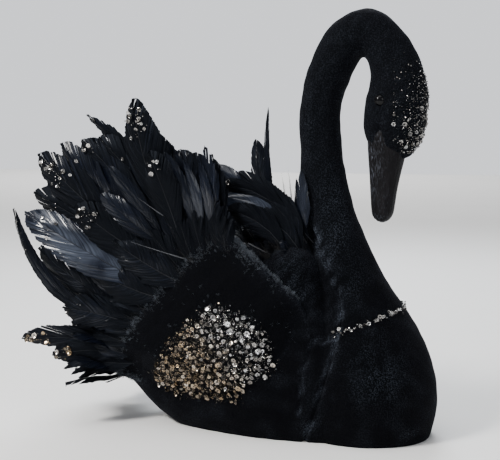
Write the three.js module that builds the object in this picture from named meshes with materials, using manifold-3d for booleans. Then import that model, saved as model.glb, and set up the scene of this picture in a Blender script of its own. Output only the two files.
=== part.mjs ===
// A decorative black swan: a flat-bottomed, velvet-covered form with a long arched neck, a
// hanging bill, padded velvet wings with fans of glued feathers, a feathered back and tail,
// and a string of sequins across the breast. Millimetres, +X to the swan's front, +Y to its
// left, +Z up, with the origin in the middle of the flat base.
import * as THREE from "three";
import { mergeVertices } from "three/addons/utils/BufferGeometryUtils.js";
import Module from "manifold-3d";

const wasm = await Module();
wasm.setup();

// Driving dimensions
const GAP = 0.3;
const VANE_THICK = 0.8;
const VANE_TIP_THICK = 0.45;
const ROOT_DEPTH = 14;
const EYE_RADIUS = 3.8;

// The breast, neck and head as one bent form, from the base up over the arch and down to
// the forehead: [x, z, half depth in the plane of the bend, half width across it].
const NECK_STATIONS = [
  [71, -14, 66, 55],
  [72, 4, 70, 60],
  [74, 30, 73, 65],
  [73.5, 58, 71.5, 66],
  [73, 88, 63, 62],
  [72, 107, 54.5, 56],
  [68, 127, 46, 49],
  [62, 146, 39, 42],
  [55, 166, 33.5, 36],
  [48, 186, 30.5, 31],
  [41.5, 206, 28, 28],
  [35.5, 226, 26.5, 25.5],
  [29.5, 256, 23.5, 23],
  [27, 286, 21, 21.5],
  [25.5, 316, 20.5, 21],
  [29, 344, 21, 21.5],
  [37, 367, 21.5, 22],
  [46.5, 386.5, 22, 22.5],
  [58.5, 398, 22.5, 22.5],
  [72.5, 402, 22.7, 22.5],
  [84.5, 394, 22.5, 23],
  [95, 380, 23.5, 23.5],
  [102, 362, 26, 24.5],
  [104, 342, 29.5, 25.5],
  [101.5, 322, 31, 25.5],
  [101.5, 307, 30.5, 23.5],
  [104.5, 295, 26, 20],
  [108, 284.5, 18, 14],
  [111, 278, 8, 6],
];
const NECK_LEVEL_SHARE = 0.5;

// The boat-like body behind the breast: [x, lowest z, highest z, half width].
const HULL_STATIONS = [
  [-193, 52, 64, 9],
  [-184, 46, 72, 26],
  [-166, 30, 89, 37],
  [-146, 9, 105, 45],
  [-130, -1, 118, 50],
  [-112, -11, 130, 57],
  [-60, -32, 164, 66],
  [-20, -51, 188, 68],
  [8, -66, 201, 65],
  [30, -64, 176, 62],
  [50, -50, 128, 58],
  [70, -36, 84, 46],
  [84, -20, 60, 28],
];

// Where the breast's velvet meets the side panels, seen from the side: [x, z].
const BREAST_SEAM = [
  [20, -30],
  [25, 1],
  [41, 47],
  [52, 86],
  [60, 123],
  [54, 151],
  [41, 179],
  [26, 204],
  [2, 226],
  [-30, 250],
];

// Where the neck is parted, as [x, z] on its centreline and how far the cut leans back.
const NECKLACE_CUT = { x: 76, z: 118, lean: -20 };
const LOWER_NECK_CUT = { x: 38, z: 216, lean: -14 };
const MIDDLE_NECK_CUT = { x: 36, z: 360, lean: 12 };
const HEAD_REGION = [
  [70, 376],
  [130, 380],
  [180, 380],
  [180, 206],
  [70, 206],
];

// The wing pad's outline seen from the side, from its peak down the front and back round.
const WING_OUTLINE = [
  [-62, 204],
  [-45, 196],
  [-29, 184],
  [-14, 171],
  [1, 158],
  [15, 146],
  [24, 131],
  [27, 111],
  [22, 89],
  [10, 66],
  [-8, 46],
  [-32, 32],
  [-70, 26],
  [-112, 26],
  [-130, 32],
  [-146, 38],
  [-162, 44],
  [-178, 50],
  [-189, 57],
  [-188, 68],
  [-176, 86],
  [-158, 108],
  [-138, 133],
  [-119, 156],
  [-98, 178],
  [-78, 196],
];
const WING_CENTRE = { x: -55, z: 95 };
const WING_REACH = { x: 175, y: 77, up: 165, down: 136 };
const WING_THICK = 13;

// The bill: [x, z, half depth, half width], for the whole of it and for its lower half.
const BILL_STATIONS = [
  [96, 316, 10, 12],
  [95, 302, 17, 20.5],
  [95.5, 290, 17.5, 19],
  [94.5, 276, 16, 16],
  [93, 262, 14.2, 14],
  [91.8, 246, 12.2, 13],
  [91, 232, 11, 12.8],
  [90.5, 223, 9.8, 11.4],
  [90, 217, 6.4, 8],
  [89.8, 214.6, 2, 3],
];
const LOWER_BILL_STATIONS = [
  [84, 304, 10, 14],
  [83.5, 284, 8.6, 11.6],
  [83, 262, 6.4, 10],
  [83, 240, 5, 9.4],
  [83.4, 224, 4, 8],
  [84, 218, 2, 5],
];
const EYE = { x: 89.5, y: 21.4, z: 334.5 };

const FORWARD = new THREE.Vector3(1, 0, 0);
const ACROSS = new THREE.Vector3(0, 1, 0);
const UP = new THREE.Vector3(0, 0, 1);

// A seeded stream of numbers from 0 to 1.
function stream(seed) {
  let state = seed;
  return () => {
    state = (state * 1664525 + 1013904223) % 4294967296;
    return state / 4294967296;
  };
}

// A closed geometry as a solid, and a solid as a geometry.
function solidOf(geometry) {
  const bare = new THREE.BufferGeometry();
  bare.setAttribute("position", geometry.getAttribute("position").clone());
  if (geometry.index) bare.setIndex(geometry.index.clone());
  const merged = mergeVertices(bare, 1e-3);
  return new wasm.Manifold(
    new wasm.Mesh({
      numProp: 3,
      vertProperties: new Float32Array(merged.attributes.position.array),
      triVerts: new Uint32Array(merged.index.array),
    }),
  );
}

function geometryOf(solid) {
  const mesh = solid.getMesh();
  const geometry = new THREE.BufferGeometry();
  const points = new Float32Array(mesh.numVert * 3);
  for (let i = 0; i < mesh.numVert; i++) {
    points.set(mesh.vertProperties.subarray(i * mesh.numProp, i * mesh.numProp + 3), i * 3);
  }
  geometry.setAttribute("position", new THREE.BufferAttribute(points, 3));
  geometry.setIndex(new THREE.BufferAttribute(new Uint32Array(mesh.triVerts), 1));
  geometry.computeVertexNormals();
  return geometry;
}

// The one outer surface of a solid, without sealed hollows or loose scraps.
function largest(solid) {
  const bodies = solid.decompose();
  return bodies.reduce((a, b) => (b.volume() > a.volume() ? b : a));
}

// A loft through stations in the XZ plane, round in section or squarer with a higher power.
// Its sections keep to one given direction up to a share of the way along, and lie across
// the bend after that.
function loft(stations, { sides, rows, power = 2, grow = 0, section = FORWARD, until = 0 }) {
  const centre = new THREE.CatmullRomCurve3(
    stations.map(([x, z]) => new THREE.Vector3(x, 0, z)),
    false,
    "catmullrom",
    0.5,
  );
  const size = new THREE.CatmullRomCurve3(
    stations.map(([, , depth, width]) => new THREE.Vector3(depth, width, 0)),
    false,
    "catmullrom",
    0.5,
  );
  const geometry = new THREE.CylinderGeometry(1, 1, 1, sides, rows);
  const points = geometry.getAttribute("position");
  for (let i = 0; i < points.count; i++) {
    const along = THREE.MathUtils.clamp(points.getY(i) + 0.5, 0, 1);
    const middle = centre.getPoint(along);
    const tangent = centre.getTangent(along);
    const bent = until < 1 ? THREE.MathUtils.smoothstep(along, until - 0.12, until) : 0;
    const inPlane = new THREE.Vector3().crossVectors(ACROSS, tangent).lerp(section, 1 - bent);
    inPlane.normalize();
    const { x: depth, y: width } = size.getPoint(along);
    const across = points.getX(i);
    const deep = points.getZ(i);
    const round = Math.hypot(across, deep) || 1;
    const sum = Math.abs(across / round) ** power + Math.abs(deep / round) ** power;
    const square = sum ** (1 / power) || 1;
    middle.addScaledVector(ACROSS, (across * (width + grow)) / square);
    middle.addScaledVector(inPlane, (deep * (depth + grow)) / square);
    const end = along < 1e-6 ? -1 : along > 1 - 1e-6 ? 1 : 0;
    middle.addScaledVector(tangent, end * grow);
    points.setXYZ(i, middle.x, middle.y, middle.z);
  }
  return solidOf(geometry);
}

// Everything below a height, as a big block.
function below(height) {
  const block = new THREE.BoxGeometry(1200, 800, 400);
  block.translate(0, 0, height - 200);
  return solidOf(block);
}

// A block that fills one side of a plane through the neck, on the side that it faces.
function neckSide({ x, z, lean }, shift) {
  const block = new THREE.BoxGeometry(300, 300, 600);
  block.translate(0, 0, 300 + shift);
  block.rotateY(THREE.MathUtils.degToRad(lean));
  block.translate(x, 0, z);
  return solidOf(block);
}

// A prism through the whole width over an outline in the XZ plane.
function prism(outline, width) {
  const shape = new THREE.Shape(outline.map(([x, z]) => new THREE.Vector2(x, z)));
  const geometry = new THREE.ExtrudeGeometry(shape, { depth: width, bevelEnabled: false });
  geometry.rotateX(Math.PI / 2);
  geometry.translate(0, width / 2, 0);
  return solidOf(geometry);
}

// The region of the head and bill, in front of the neck and under the arch.
function headRegion(shift) {
  return prism(
    HEAD_REGION.map(([x, z]) => [x - shift, z + shift]),
    400,
  );
}

// The region in front of the breast's seam, moved back or forward by a shift.
function aheadOfSeam(shift) {
  const curve = new THREE.SplineCurve(BREAST_SEAM.map(([x, z]) => new THREE.Vector2(x, z)));
  const line = curve.getPoints(28).map((p) => [p.x + shift, p.y]);
  return prism([...line, [-30 + shift, 600], [400, 600], [400, -30]], 400);
}

// The ellipsoid whose skin the wing pads follow, inset by a depth.
function wingShell(inset) {
  const geometry = new THREE.SphereGeometry(1, 32, 20);
  geometry.rotateX(Math.PI / 2);
  const points = geometry.getAttribute("position");
  for (let i = 0; i < points.count; i++) {
    const z = points.getZ(i);
    const reach = z > 0 ? WING_REACH.up : WING_REACH.down;
    points.setXYZ(
      i,
      WING_CENTRE.x + points.getX(i) * (WING_REACH.x - inset),
      points.getY(i) * (WING_REACH.y - inset),
      WING_CENTRE.z + z * (reach - inset),
    );
  }
  return solidOf(geometry);
}

// How far out the wing's shell stands at a place seen from the side.
function shellWidth(x, z, inset) {
  const reach = z > WING_CENTRE.z ? WING_REACH.up : WING_REACH.down;
  const u = (x - WING_CENTRE.x) / (WING_REACH.x - inset);
  const v = (z - WING_CENTRE.z) / (reach - inset);
  return (WING_REACH.y - inset) * Math.sqrt(Math.max(0.02, 1 - u * u - v * v));
}

// A feather's half width along its length, from a bare quill to a rounded or sharp tip.
function vaneOutline(share, tip) {
  const spread = 0.14 + 0.86 * THREE.MathUtils.smoothstep(share, 0.02, 0.42);
  const point = Math.max(0, 1 - ((share - 0.62) / 0.38) ** 2);
  return share < 0.62 ? spread : spread * Math.max(0.1, point ** tip);
}

// A feather as a thin blade: its two faces are split into triangles alike.
function feather({ root, heading, face, length, width, curl = 0, sweep = 0, tip = 0.5, grow = 0 }) {
  const along = heading.clone().normalize();
  const side = new THREE.Vector3().crossVectors(along, face).normalize();
  const flat = new THREE.Vector3().crossVectors(side, along).normalize();
  const shares = [0, 0.16, 0.34, 0.56, 0.76, 0.92, 1];
  const points = [];
  for (const share of shares) {
    const bend = share * share * length;
    const middle = root.clone().addScaledVector(along, share * length);
    middle.addScaledVector(flat, curl * bend).addScaledVector(side, sweep * bend);
    const tangent = along.clone().addScaledVector(flat, 2 * curl * share);
    tangent.addScaledVector(side, 2 * sweep * share).normalize();
    middle.addScaledVector(tangent, share === 0 ? -grow : share === 1 ? grow : 0);
    const edge = new THREE.Vector3().crossVectors(tangent, flat).normalize();
    const normal = new THREE.Vector3().crossVectors(edge, tangent).normalize();
    const half = (width / 2) * vaneOutline(share, tip) + grow;
    const thick = THREE.MathUtils.lerp(VANE_THICK, VANE_TIP_THICK, share) / 2 + grow;
    for (const [a, b] of [[-1, 1], [1, 1], [1, -1], [-1, -1]]) {
      points.push(middle.clone().addScaledVector(edge, a * half).addScaledVector(normal, b * thick));
    }
  }
  const faces = [0, 2, 1, 0, 3, 2];
  for (let row = 0; row < shares.length - 1; row++) {
    const [tl, tr, br, bl] = [0, 1, 2, 3].map((corner) => row * 4 + corner);
    const [ntl, ntr, nbr, nbl] = [tl, tr, br, bl].map((corner) => corner + 4);
    faces.push(tl, tr, ntr, tl, ntr, ntl);
    faces.push(bl, nbr, br, bl, nbl, nbr);
    faces.push(tr, br, nbr, tr, nbr, ntr);
    faces.push(tl, nbl, bl, tl, ntl, nbl);
  }
  const last = (shares.length - 1) * 4;
  faces.push(last, last + 1, last + 2, last, last + 2, last + 3);
  const geometry = new THREE.BufferGeometry().setFromPoints(points);
  geometry.setIndex(faces);
  return solidOf(geometry);
}

// The direction that points back and up by an angle above the horizon.
function backwards(degrees) {
  const angle = THREE.MathUtils.degToRad(degrees);
  return new THREE.Vector3(-Math.cos(angle), 0, Math.sin(angle));
}

// The fan of one wing. Feathers root inside the pad's rim and open like a hand of cards
// from the tail end, where they lie back, to the peak, where they stand up.
const WING_RIM = new THREE.SplineCurve(
  [[-172, 58], [-160, 84], [-142, 108], [-124, 131], [-104, 153], [-84, 173], [-66, 184], [-50, 180]].map(
    ([x, z]) => new THREE.Vector2(x, z),
  ),
);
const FAN_RIGHT = [
  [-12, 58],
  [9, 124],
  [20, 94],
  [33, 160],
  [41, 174],
  [46, 194],
  [55, 178],
  [65, 174],
  [73, 110],
  [83, 86],
  [93, 74],
];
const FAN_LEFT = [
  [-10, 54],
  [4, 88],
  [18, 104],
  [30, 136],
  [39, 148],
  [46, 158],
  [52, 150],
  [58, 116],
  [66, 92],
  [75, 80],
  [84, 108],
];
// The slim feathers of each wing: place on the rim, pitch, length, upward bend and width.
const SLIM_RIGHT = [
  [0.02, -16, 66, 0.2, 8],
  [0.2, 20, 164, 0.5, 13],
  [0.62, 57, 172, 0.1, 11],
];
const SLIM_LEFT = [
  [0.05, -12, 60, 0.2, 8],
  [0.55, 36, 150, 0.24, 12],
  [0.98, 88, 142, 0.02, 9],
];
const FAN_BEND = 0.1;
const LONG_TIER = { count: 14, width: 38, reach: 1, curl: 0.1, inset: 10.5, seed: 11 };
const COVER_TIER = { count: 8, width: 34, reach: 0.66, curl: 0.16, inset: 4.5, seed: 29 };
const VANE_TILT = 0.22;

// The pitch above the horizon and the length of a feather at a share of the way up the fan.
function fanAt(table, share) {
  const at = share * (table.length - 1);
  const i = Math.min(table.length - 2, Math.floor(at));
  return [0, 1].map((k) => THREE.MathUtils.lerp(table[i][k], table[i + 1][k], at - i));
}

function wingTier(tier, side, grow) {
  const random = stream(tier.seed + (side > 0 ? 100 : 0));
  const vanes = [];
  for (let i = 0; i < tier.count; i++) {
    const share = THREE.MathUtils.clamp((i + 0.3 * (random() - 0.5)) / (tier.count - 1), 0, 1);
    const rim = WING_RIM.getPoint(share);
    const [pitch, length] = fanAt(side < 0 ? FAN_RIGHT : FAN_LEFT, share);
    const heading = backwards(pitch + (random() - 0.5) * 4);
    const face = new THREE.Vector3(0, side, 0).addScaledVector(backwards(pitch + 90), VANE_TILT);
    vanes.push(
      feather({
        root: new THREE.Vector3(rim.x, side * shellWidth(rim.x, rim.y, tier.inset), rim.y),
        heading,
        face,
        length: length * tier.reach * (0.95 + 0.1 * random()),
        width: tier.width * Math.min(1, 0.55 + share * 1.3) * (0.9 + 0.2 * random()),
        curl: tier.curl * (0.8 + 0.4 * random()),
        sweep: -side * FAN_BEND * (0.7 + 0.6 * random()),
        tip: 0.3 + 0.35 * random(),
        grow,
      }),
    );
  }
  return vanes;
}

function slimFeathers(side, grow) {
  return (side < 0 ? SLIM_RIGHT : SLIM_LEFT).map(([share, pitch, length, bend, width]) => {
    const rim = WING_RIM.getPoint(share);
    return feather({
      root: new THREE.Vector3(rim.x, side * shellWidth(rim.x, rim.y, 7.5), rim.y),
      heading: backwards(pitch),
      face: new THREE.Vector3(0, side, 0),
      length,
      width,
      curl: 0.06,
      sweep: -side * bend,
      tip: 0.8,
      grow,
    });
  });
}

function wing(side, grow = 0) {
  const outline = new THREE.SplineCurve(
    [...WING_OUTLINE, WING_OUTLINE[0]].map(([x, z]) => new THREE.Vector2(x, z)),
  );
  const rim = outline.getPoints(60).slice(0, -1).map((p) => [p.x, p.y]);
  const half = new THREE.BoxGeometry(600, 300, 600);
  half.translate(0, side * 150, 0);
  const pad = prism(rim, 300)
    .intersect(wingShell(-grow))
    .subtract(wingShell(WING_THICK + grow))
    .intersect(solidOf(half));
  const vanes = [
    ...wingTier(LONG_TIER, side, grow),
    ...wingTier(COVER_TIER, side, grow),
    ...slimFeathers(side, grow),
  ];
  return wasm.Manifold.union([pad, ...vanes]);
}

// The feathers on the back, in rows between the wings, and those of the tail.
const BACK_ROWS = { count: 6, across: [-17, 1, 18], from: -2, to: -126, width: 27 };
const BACK_TURNS = [-68, -42, 66];
const BACK_LENGTHS = [62, 76, 86, 90, 88, 84];
const BACK_PITCH = [88, 74, 62, 50, 40, 30];
const TAIL_FAN = { count: 6, spread: 44, length: 72, width: 30 };

function backFeathers(hullTop, grow = 0) {
  const random = stream(57);
  const vanes = [];
  for (let row = 0; row < BACK_ROWS.count; row++) {
    const share = row / (BACK_ROWS.count - 1);
    const x = THREE.MathUtils.lerp(BACK_ROWS.from, BACK_ROWS.to, share);
    for (const [k, y] of BACK_ROWS.across.entries()) {
      const turn = THREE.MathUtils.degToRad(BACK_TURNS[k] + (random() - 0.5) * 16);
      const angle = BACK_PITCH[row] + (random() - 0.5) * 8;
      const heading = backwards(angle);
      heading.y = y * 0.005;
      vanes.push(
        feather({
          root: new THREE.Vector3(x - 4 * random(), y, hullTop(x) - ROOT_DEPTH),
          heading,
          face: backwards(angle + 90)
            .multiplyScalar(-Math.cos(turn))
            .addScaledVector(ACROSS, Math.sin(turn)),
          length: BACK_LENGTHS[row] * (0.9 + 0.2 * random()),
          width: BACK_ROWS.width * (0.85 + 0.25 * random()),
          curl: -0.06 - 0.06 * random(),
          tip: 0.5 + 0.5 * random(),
          grow,
        }),
      );
    }
  }
  return vanes;
}

function tailFeathers(grow = 0) {
  const random = stream(83);
  const vanes = [];
  for (let layer = 0; layer < 2; layer++) {
    for (let i = 0; i < TAIL_FAN.count; i++) {
      const share = i / (TAIL_FAN.count - 1) - 0.5;
      const turn = THREE.MathUtils.degToRad(share * TAIL_FAN.spread);
      const lift = THREE.MathUtils.degToRad(2 + 14 * layer + (random() - 0.5) * 5);
      const heading = new THREE.Vector3(
        -Math.cos(turn) * Math.cos(lift),
        Math.sin(turn) * Math.cos(lift),
        Math.sin(lift),
      );
      vanes.push(
        feather({
          root: new THREE.Vector3(-170, share * 30, 54 + 12 * layer),
          heading,
          face: new THREE.Vector3(0, 0.16, 1),
          length: TAIL_FAN.length * (1 - 0.5 * share * share) * (0.86 + 0.22 * random()),
          width: TAIL_FAN.width * (0.85 + 0.3 * random()),
          curl: -0.05 + 0.1 * random(),
          tip: 0.4 + 0.4 * random(),
          grow,
        }),
      );
    }
  }
  return vanes;
}

// The body behind the breast, with the flat base cut at z = 0.
function hull(grow = 0) {
  const stations = HULL_STATIONS.map(([x, low, high, width]) => [
    x,
    (low + high) / 2,
    (high - low) / 2,
    width,
  ]);
  const down = UP.clone().negate();
  return loft(stations, { rows: 18, sides: 26, power: 2.15, grow, section: down, until: 1 });
}

function hullTop(x) {
  const i = HULL_STATIONS.findIndex(([at]) => at >= x);
  const [a, b] = [HULL_STATIONS[i - 1], HULL_STATIONS[i]];
  return THREE.MathUtils.lerp(a[2], b[2], (x - a[0]) / (b[0] - a[0]));
}

function neckForm(grow = 0) {
  return loft(NECK_STATIONS, { rows: 44, sides: 22, grow, until: NECK_LEVEL_SHARE });
}

// The string of sequins across the front of the neck's foot, from seam to seam: discs that
// overlap like fish scales along the cut, a little proud of the velvet.
const NECKLACE = { discs: 45, radius: 2.8, thick: 1, proud: 2, reach: 109 };

function neckRing(z) {
  const i = NECK_STATIONS.findIndex((station) => station[1] >= z);
  const [a, b] = [NECK_STATIONS[i - 1], NECK_STATIONS[i]];
  const t = (z - a[1]) / (b[1] - a[1]);
  return [0, 2, 3].map((k) => THREE.MathUtils.lerp(a[k], b[k], t));
}

function onNecklace(degrees) {
  const angle = THREE.MathUtils.degToRad(degrees);
  const slope = Math.tan(THREE.MathUtils.degToRad(-NECKLACE_CUT.lean));
  const point = new THREE.Vector3(NECKLACE_CUT.x, 0, NECKLACE_CUT.z);
  for (let step = 0; step < 6; step++) {
    const [middle, depth, width] = neckRing(point.z);
    point.x = middle + (depth + NECKLACE.proud) * Math.cos(angle);
    point.y = (width + NECKLACE.proud) * Math.sin(angle);
    point.z = NECKLACE_CUT.z + slope * (point.x - NECKLACE_CUT.x);
  }
  return point;
}

function necklace(grow = 0) {
  const discs = [];
  for (let i = 0; i < NECKLACE.discs; i++) {
    const share = i / (NECKLACE.discs - 1);
    const degrees = THREE.MathUtils.lerp(-NECKLACE.reach, NECKLACE.reach, share);
    const radius = NECKLACE.radius + grow;
    const disc = new THREE.CylinderGeometry(radius, radius, NECKLACE.thick + 2 * grow, 5);
    disc.rotateX(Math.PI / 2);
    disc.rotateZ(i * 0.7);
    disc.rotateY(0.1);
    const here = onNecklace(degrees);
    const ahead = onNecklace(degrees + 1).sub(here).normalize();
    const out = new THREE.Vector3().crossVectors(ahead, UP).normalize();
    const turn = new THREE.Matrix4().makeBasis(ahead, new THREE.Vector3().crossVectors(out, ahead), out);
    disc.applyMatrix4(turn.setPosition(here));
    discs.push(solidOf(disc));
  }
  return wasm.Manifold.union(discs);
}

// Builds the nodes, each cut clear of the ones before it.
const bodyHull = hull();
const neckWhole = neckForm();
const ground = below(0);
const form = bodyHull.add(neckWhole).subtract(ground);
const front = aheadOfSeam(GAP);
const behind = aheadOfSeam(0);

const string = largest(necklace());
const frontForm = form.intersect(front).subtract(necklace(GAP));
const aboveNecklace = neckSide(NECKLACE_CUT, GAP);
const aboveLower = neckSide(LOWER_NECK_CUT, GAP);
const aboveMiddle = neckSide(MIDDLE_NECK_CUT, GAP);
const breast = frontForm.subtract(neckSide(NECKLACE_CUT, 0));
const bill = largest(
  loft(BILL_STATIONS, { sides: 16, rows: 16, power: 2.3 }).add(
    loft(LOWER_BILL_STATIONS, { sides: 12, rows: 8 }),
  ),
);
const billSocket = loft(BILL_STATIONS, { sides: 16, rows: 16, power: 2.3, grow: GAP }).add(
  loft(LOWER_BILL_STATIONS, { sides: 12, rows: 8, grow: GAP }),
);

function ball(radius, { x, y, z }) {
  const geometry = new THREE.SphereGeometry(radius, 10, 6);
  geometry.translate(x, y, z);
  return solidOf(geometry);
}

const eyes = [-1, 1].map((side) => ball(EYE_RADIUS, { ...EYE, y: side * EYE.y }));
const eyeSockets = [-1, 1].map((side) => ball(EYE_RADIUS + GAP, { ...EYE, y: side * EYE.y }));

const upperHalf = frontForm.intersect(aboveNecklace);
const lowerNeck = upperHalf.subtract(neckSide(LOWER_NECK_CUT, 0));
const restOfNeck = upperHalf.intersect(aboveLower);
const head = restOfNeck
  .intersect(headRegion(0))
  .subtract(billSocket)
  .subtract(wasm.Manifold.union(eyeSockets));
const backNeck = restOfNeck.subtract(headRegion(GAP));
const middleNeck = backNeck.subtract(neckSide(MIDDLE_NECK_CUT, 0));
const archNeck = backNeck.intersect(aboveMiddle);

const tailCut = new THREE.BoxGeometry(400, 400, 600);
const TAIL_PLANE = -152;
tailCut.translate(TAIL_PLANE - 200, 0, 0);
const behindTail = solidOf(tailCut);
const tailGapCut = new THREE.BoxGeometry(400, 400, 600);
tailGapCut.translate(TAIL_PLANE - 200 + GAP, 0, 0);
const behindTailWide = solidOf(tailGapCut);

const rearForm = form.subtract(behind);
const neckKeepOut = neckForm(GAP);
const trunk = largest(
  wasm.Manifold.union([
    rearForm.subtract(behindTailWide),
    ...backFeathers(hullTop).map((vane) => vane.subtract(neckKeepOut).subtract(behindTailWide)),
  ]),
);
const trunkKeepOut = wasm.Manifold.union([hull(GAP), ...backFeathers(hullTop, GAP)]);
const tail = largest(
  wasm.Manifold.union([rearForm.intersect(behindTail), ...tailFeathers()]).subtract(
    wasm.Manifold.union(backFeathers(hullTop, GAP)),
  ),
);
const tailKeepOut = wasm.Manifold.union([hull(GAP), ...tailFeathers(GAP)]);
const keepOut = trunkKeepOut.add(tailKeepOut).add(neckKeepOut);
const wingRight = largest(wing(-1).subtract(keepOut));
const wingLeft = largest(wing(1).subtract(keepOut).subtract(wing(-1, GAP)));

// The finish of each piece.
const VELVET = { color: 0x0b0c10, roughness: 0.95, metalness: 0 };
const PLUME = { color: 0x0d1016, roughness: 0.45, metalness: 0 };
const BILL_GLOSS = { color: 0x1d1615, roughness: 0.3, metalness: 0 };
const GLASS_EYE = { color: 0x14100e, roughness: 0.08, metalness: 0 };
const SEQUIN = { color: 0xb9b4aa, roughness: 0.3, metalness: 0.7 };

const swan = new THREE.Group();

function addNode(name, solid, finish) {
  const closed = largest(solidOf(geometryOf(largest(solid))));
  const mesh = new THREE.Mesh(geometryOf(closed), new THREE.MeshStandardMaterial(finish));
  mesh.name = name;
  swan.add(mesh);
}

addNode("body", trunk, VELVET);
addNode("tail", tail, PLUME);
addNode("breast", largest(breast), VELVET);
addNode("neck_lower", largest(lowerNeck), VELVET);
addNode("neck_middle", largest(middleNeck), VELVET);
addNode("neck_arch", largest(archNeck), VELVET);
addNode("head", largest(head), VELVET);
addNode("bill", bill, BILL_GLOSS);
addNode("eye_right", eyes[0], GLASS_EYE);
addNode("eye_left", eyes[1], GLASS_EYE);
addNode("wing_right", wingRight, VELVET);
addNode("wing_left", wingLeft, VELVET);
addNode("necklace", string, SEQUIN);

export default swan;
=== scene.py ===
"""Dresses a black velvet swan ornament: a seamed velvet skin, padded wings, fans of glued
feathers, sequins, a string of sequins across the breast, a grooved bill and glass eyes."""

import math

import bmesh
import bpy
import numpy as np
from mathutils import Matrix, Vector
from mathutils.bvhtree import BVHTree


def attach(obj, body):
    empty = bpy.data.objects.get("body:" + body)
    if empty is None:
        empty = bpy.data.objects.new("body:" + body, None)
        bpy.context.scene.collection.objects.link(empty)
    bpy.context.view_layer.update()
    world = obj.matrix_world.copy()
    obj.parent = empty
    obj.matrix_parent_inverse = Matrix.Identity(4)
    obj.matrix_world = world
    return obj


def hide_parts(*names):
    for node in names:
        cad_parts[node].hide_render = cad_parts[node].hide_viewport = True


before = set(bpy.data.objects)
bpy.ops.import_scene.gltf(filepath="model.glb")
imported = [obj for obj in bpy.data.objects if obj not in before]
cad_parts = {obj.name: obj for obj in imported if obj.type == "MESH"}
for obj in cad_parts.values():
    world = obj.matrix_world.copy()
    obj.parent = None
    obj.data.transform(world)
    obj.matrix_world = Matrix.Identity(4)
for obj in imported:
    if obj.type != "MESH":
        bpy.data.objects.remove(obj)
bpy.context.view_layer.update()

bl_info = {
    "name": "Black Velvet Swan",
    "version": (1, 0, 0),
    "blender": (4, 5, 0),
    "location": "View3D > Sidebar > Swan",
    "description": "Builds the velvet, feathers, sequins, bill and eyes of a swan ornament",
    "category": "Add Mesh",
}

MM = 0.001
FORWARD = Vector((1, 0, 0))
ACROSS = Vector((0, 1, 0))
UP = Vector((0, 0, 1))

# The forms the velvet covers, in millimetres, from the same named sizes as the solids.
# Neck, arch and head: x, z, half depth, half width.
NECK_STATIONS = [
    (71, -14, 66, 55),
    (72, 4, 70, 60),
    (74, 30, 73, 65),
    (73.5, 58, 71.5, 66),
    (73, 88, 63, 62),
    (72, 107, 54.5, 56),
    (68, 127, 46, 49),
    (62, 146, 39, 42),
    (55, 166, 33.5, 36),
    (48, 186, 30.5, 31),
    (41.5, 206, 28, 28),
    (35.5, 226, 26.5, 25.5),
    (29.5, 256, 23.5, 23),
    (27, 286, 21, 21.5),
    (25.5, 316, 20.5, 21),
    (29, 344, 21, 21.5),
    (37, 367, 21.5, 22),
    (46.5, 386.5, 22, 22.5),
    (58.5, 398, 22.5, 22.5),
    (72.5, 402, 22.7, 22.5),
    (84.5, 394, 22.5, 23),
    (95, 380, 23.5, 23.5),
    (102, 362, 26, 24.5),
    (104, 342, 29.5, 25.5),
    (101.5, 322, 31, 25.5),
    (101.5, 307, 30.5, 23.5),
    (104.5, 295, 26, 20),
    (108, 284.5, 18, 14),
    (111, 278, 8, 6),
]
NECK_LEVEL_SHARE = 0.5
# Body behind the breast: x, lowest z, highest z, half width.
HULL_STATIONS = [
    (-193, 52, 64, 9),
    (-184, 46, 72, 26),
    (-166, 30, 89, 37),
    (-146, 9, 105, 45),
    (-130, -1, 118, 50),
    (-112, -11, 130, 57),
    (-60, -32, 164, 66),
    (-20, -51, 188, 68),
    (8, -66, 201, 65),
    (30, -64, 176, 62),
    (50, -50, 128, 58),
    (70, -36, 84, 46),
    (84, -20, 60, 28),
]
WING_OUTLINE = [
    (-62, 204), (-45, 196), (-29, 184), (-14, 171), (1, 158), (15, 146), (24, 131), (27, 111), (22, 89),
    (10, 66), (-8, 46), (-32, 32), (-70, 26), (-112, 26), (-130, 32), (-146, 38), (-162, 44), (-178, 50),
    (-189, 57), (-188, 68), (-176, 86), (-158, 108), (-138, 133), (-119, 156), (-98, 178), (-78, 196),
]
WING_FRONT = WING_OUTLINE[1:6]
WING_FOOT = WING_OUTLINE[7:16]
WING_CENTRE = (-55, 95)
WING_REACH = {"x": 175, "y": 77, "up": 165, "down": 136}
WING_THICK = 13
# The line that the wing feathers grow from, from the tail end to the peak.
WING_RIM = [
    (-172, 58), (-160, 84), (-142, 108), (-124, 131), (-104, 153), (-84, 173), (-66, 184), (-50, 180),
]
# Upper bill, then lower bill: x, z, half depth, half width.
BILL_STATIONS = [
    (96, 316, 10, 12),
    (95, 302, 17, 20.5),
    (95.5, 290, 17.5, 19),
    (94.5, 276, 16, 16),
    (93, 262, 14.2, 14),
    (91.8, 246, 12.2, 13),
    (91, 232, 11, 12.8),
    (90.5, 223, 9.8, 11.4),
    (90, 217, 6.4, 8),
    (89.8, 214.6, 2, 3),
]
LOWER_BILL_STATIONS = [
    (84, 304, 10, 14),
    (83.5, 284, 8.6, 11.6),
    (83, 262, 6.4, 10),
    (83, 240, 5, 9.4),
    (83.4, 224, 4, 8),
    (84, 218, 2, 5),
]
EYE = (89.5, 21.4, 334.5)
EYE_RADIUS = 5.5
# The plane that the necklace lies in, how many stones it has and how far round it goes, in degrees.
NECKLACE = {"x": 76, "z": 118, "lean": 20, "stones": 150, "reach": 113}

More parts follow.
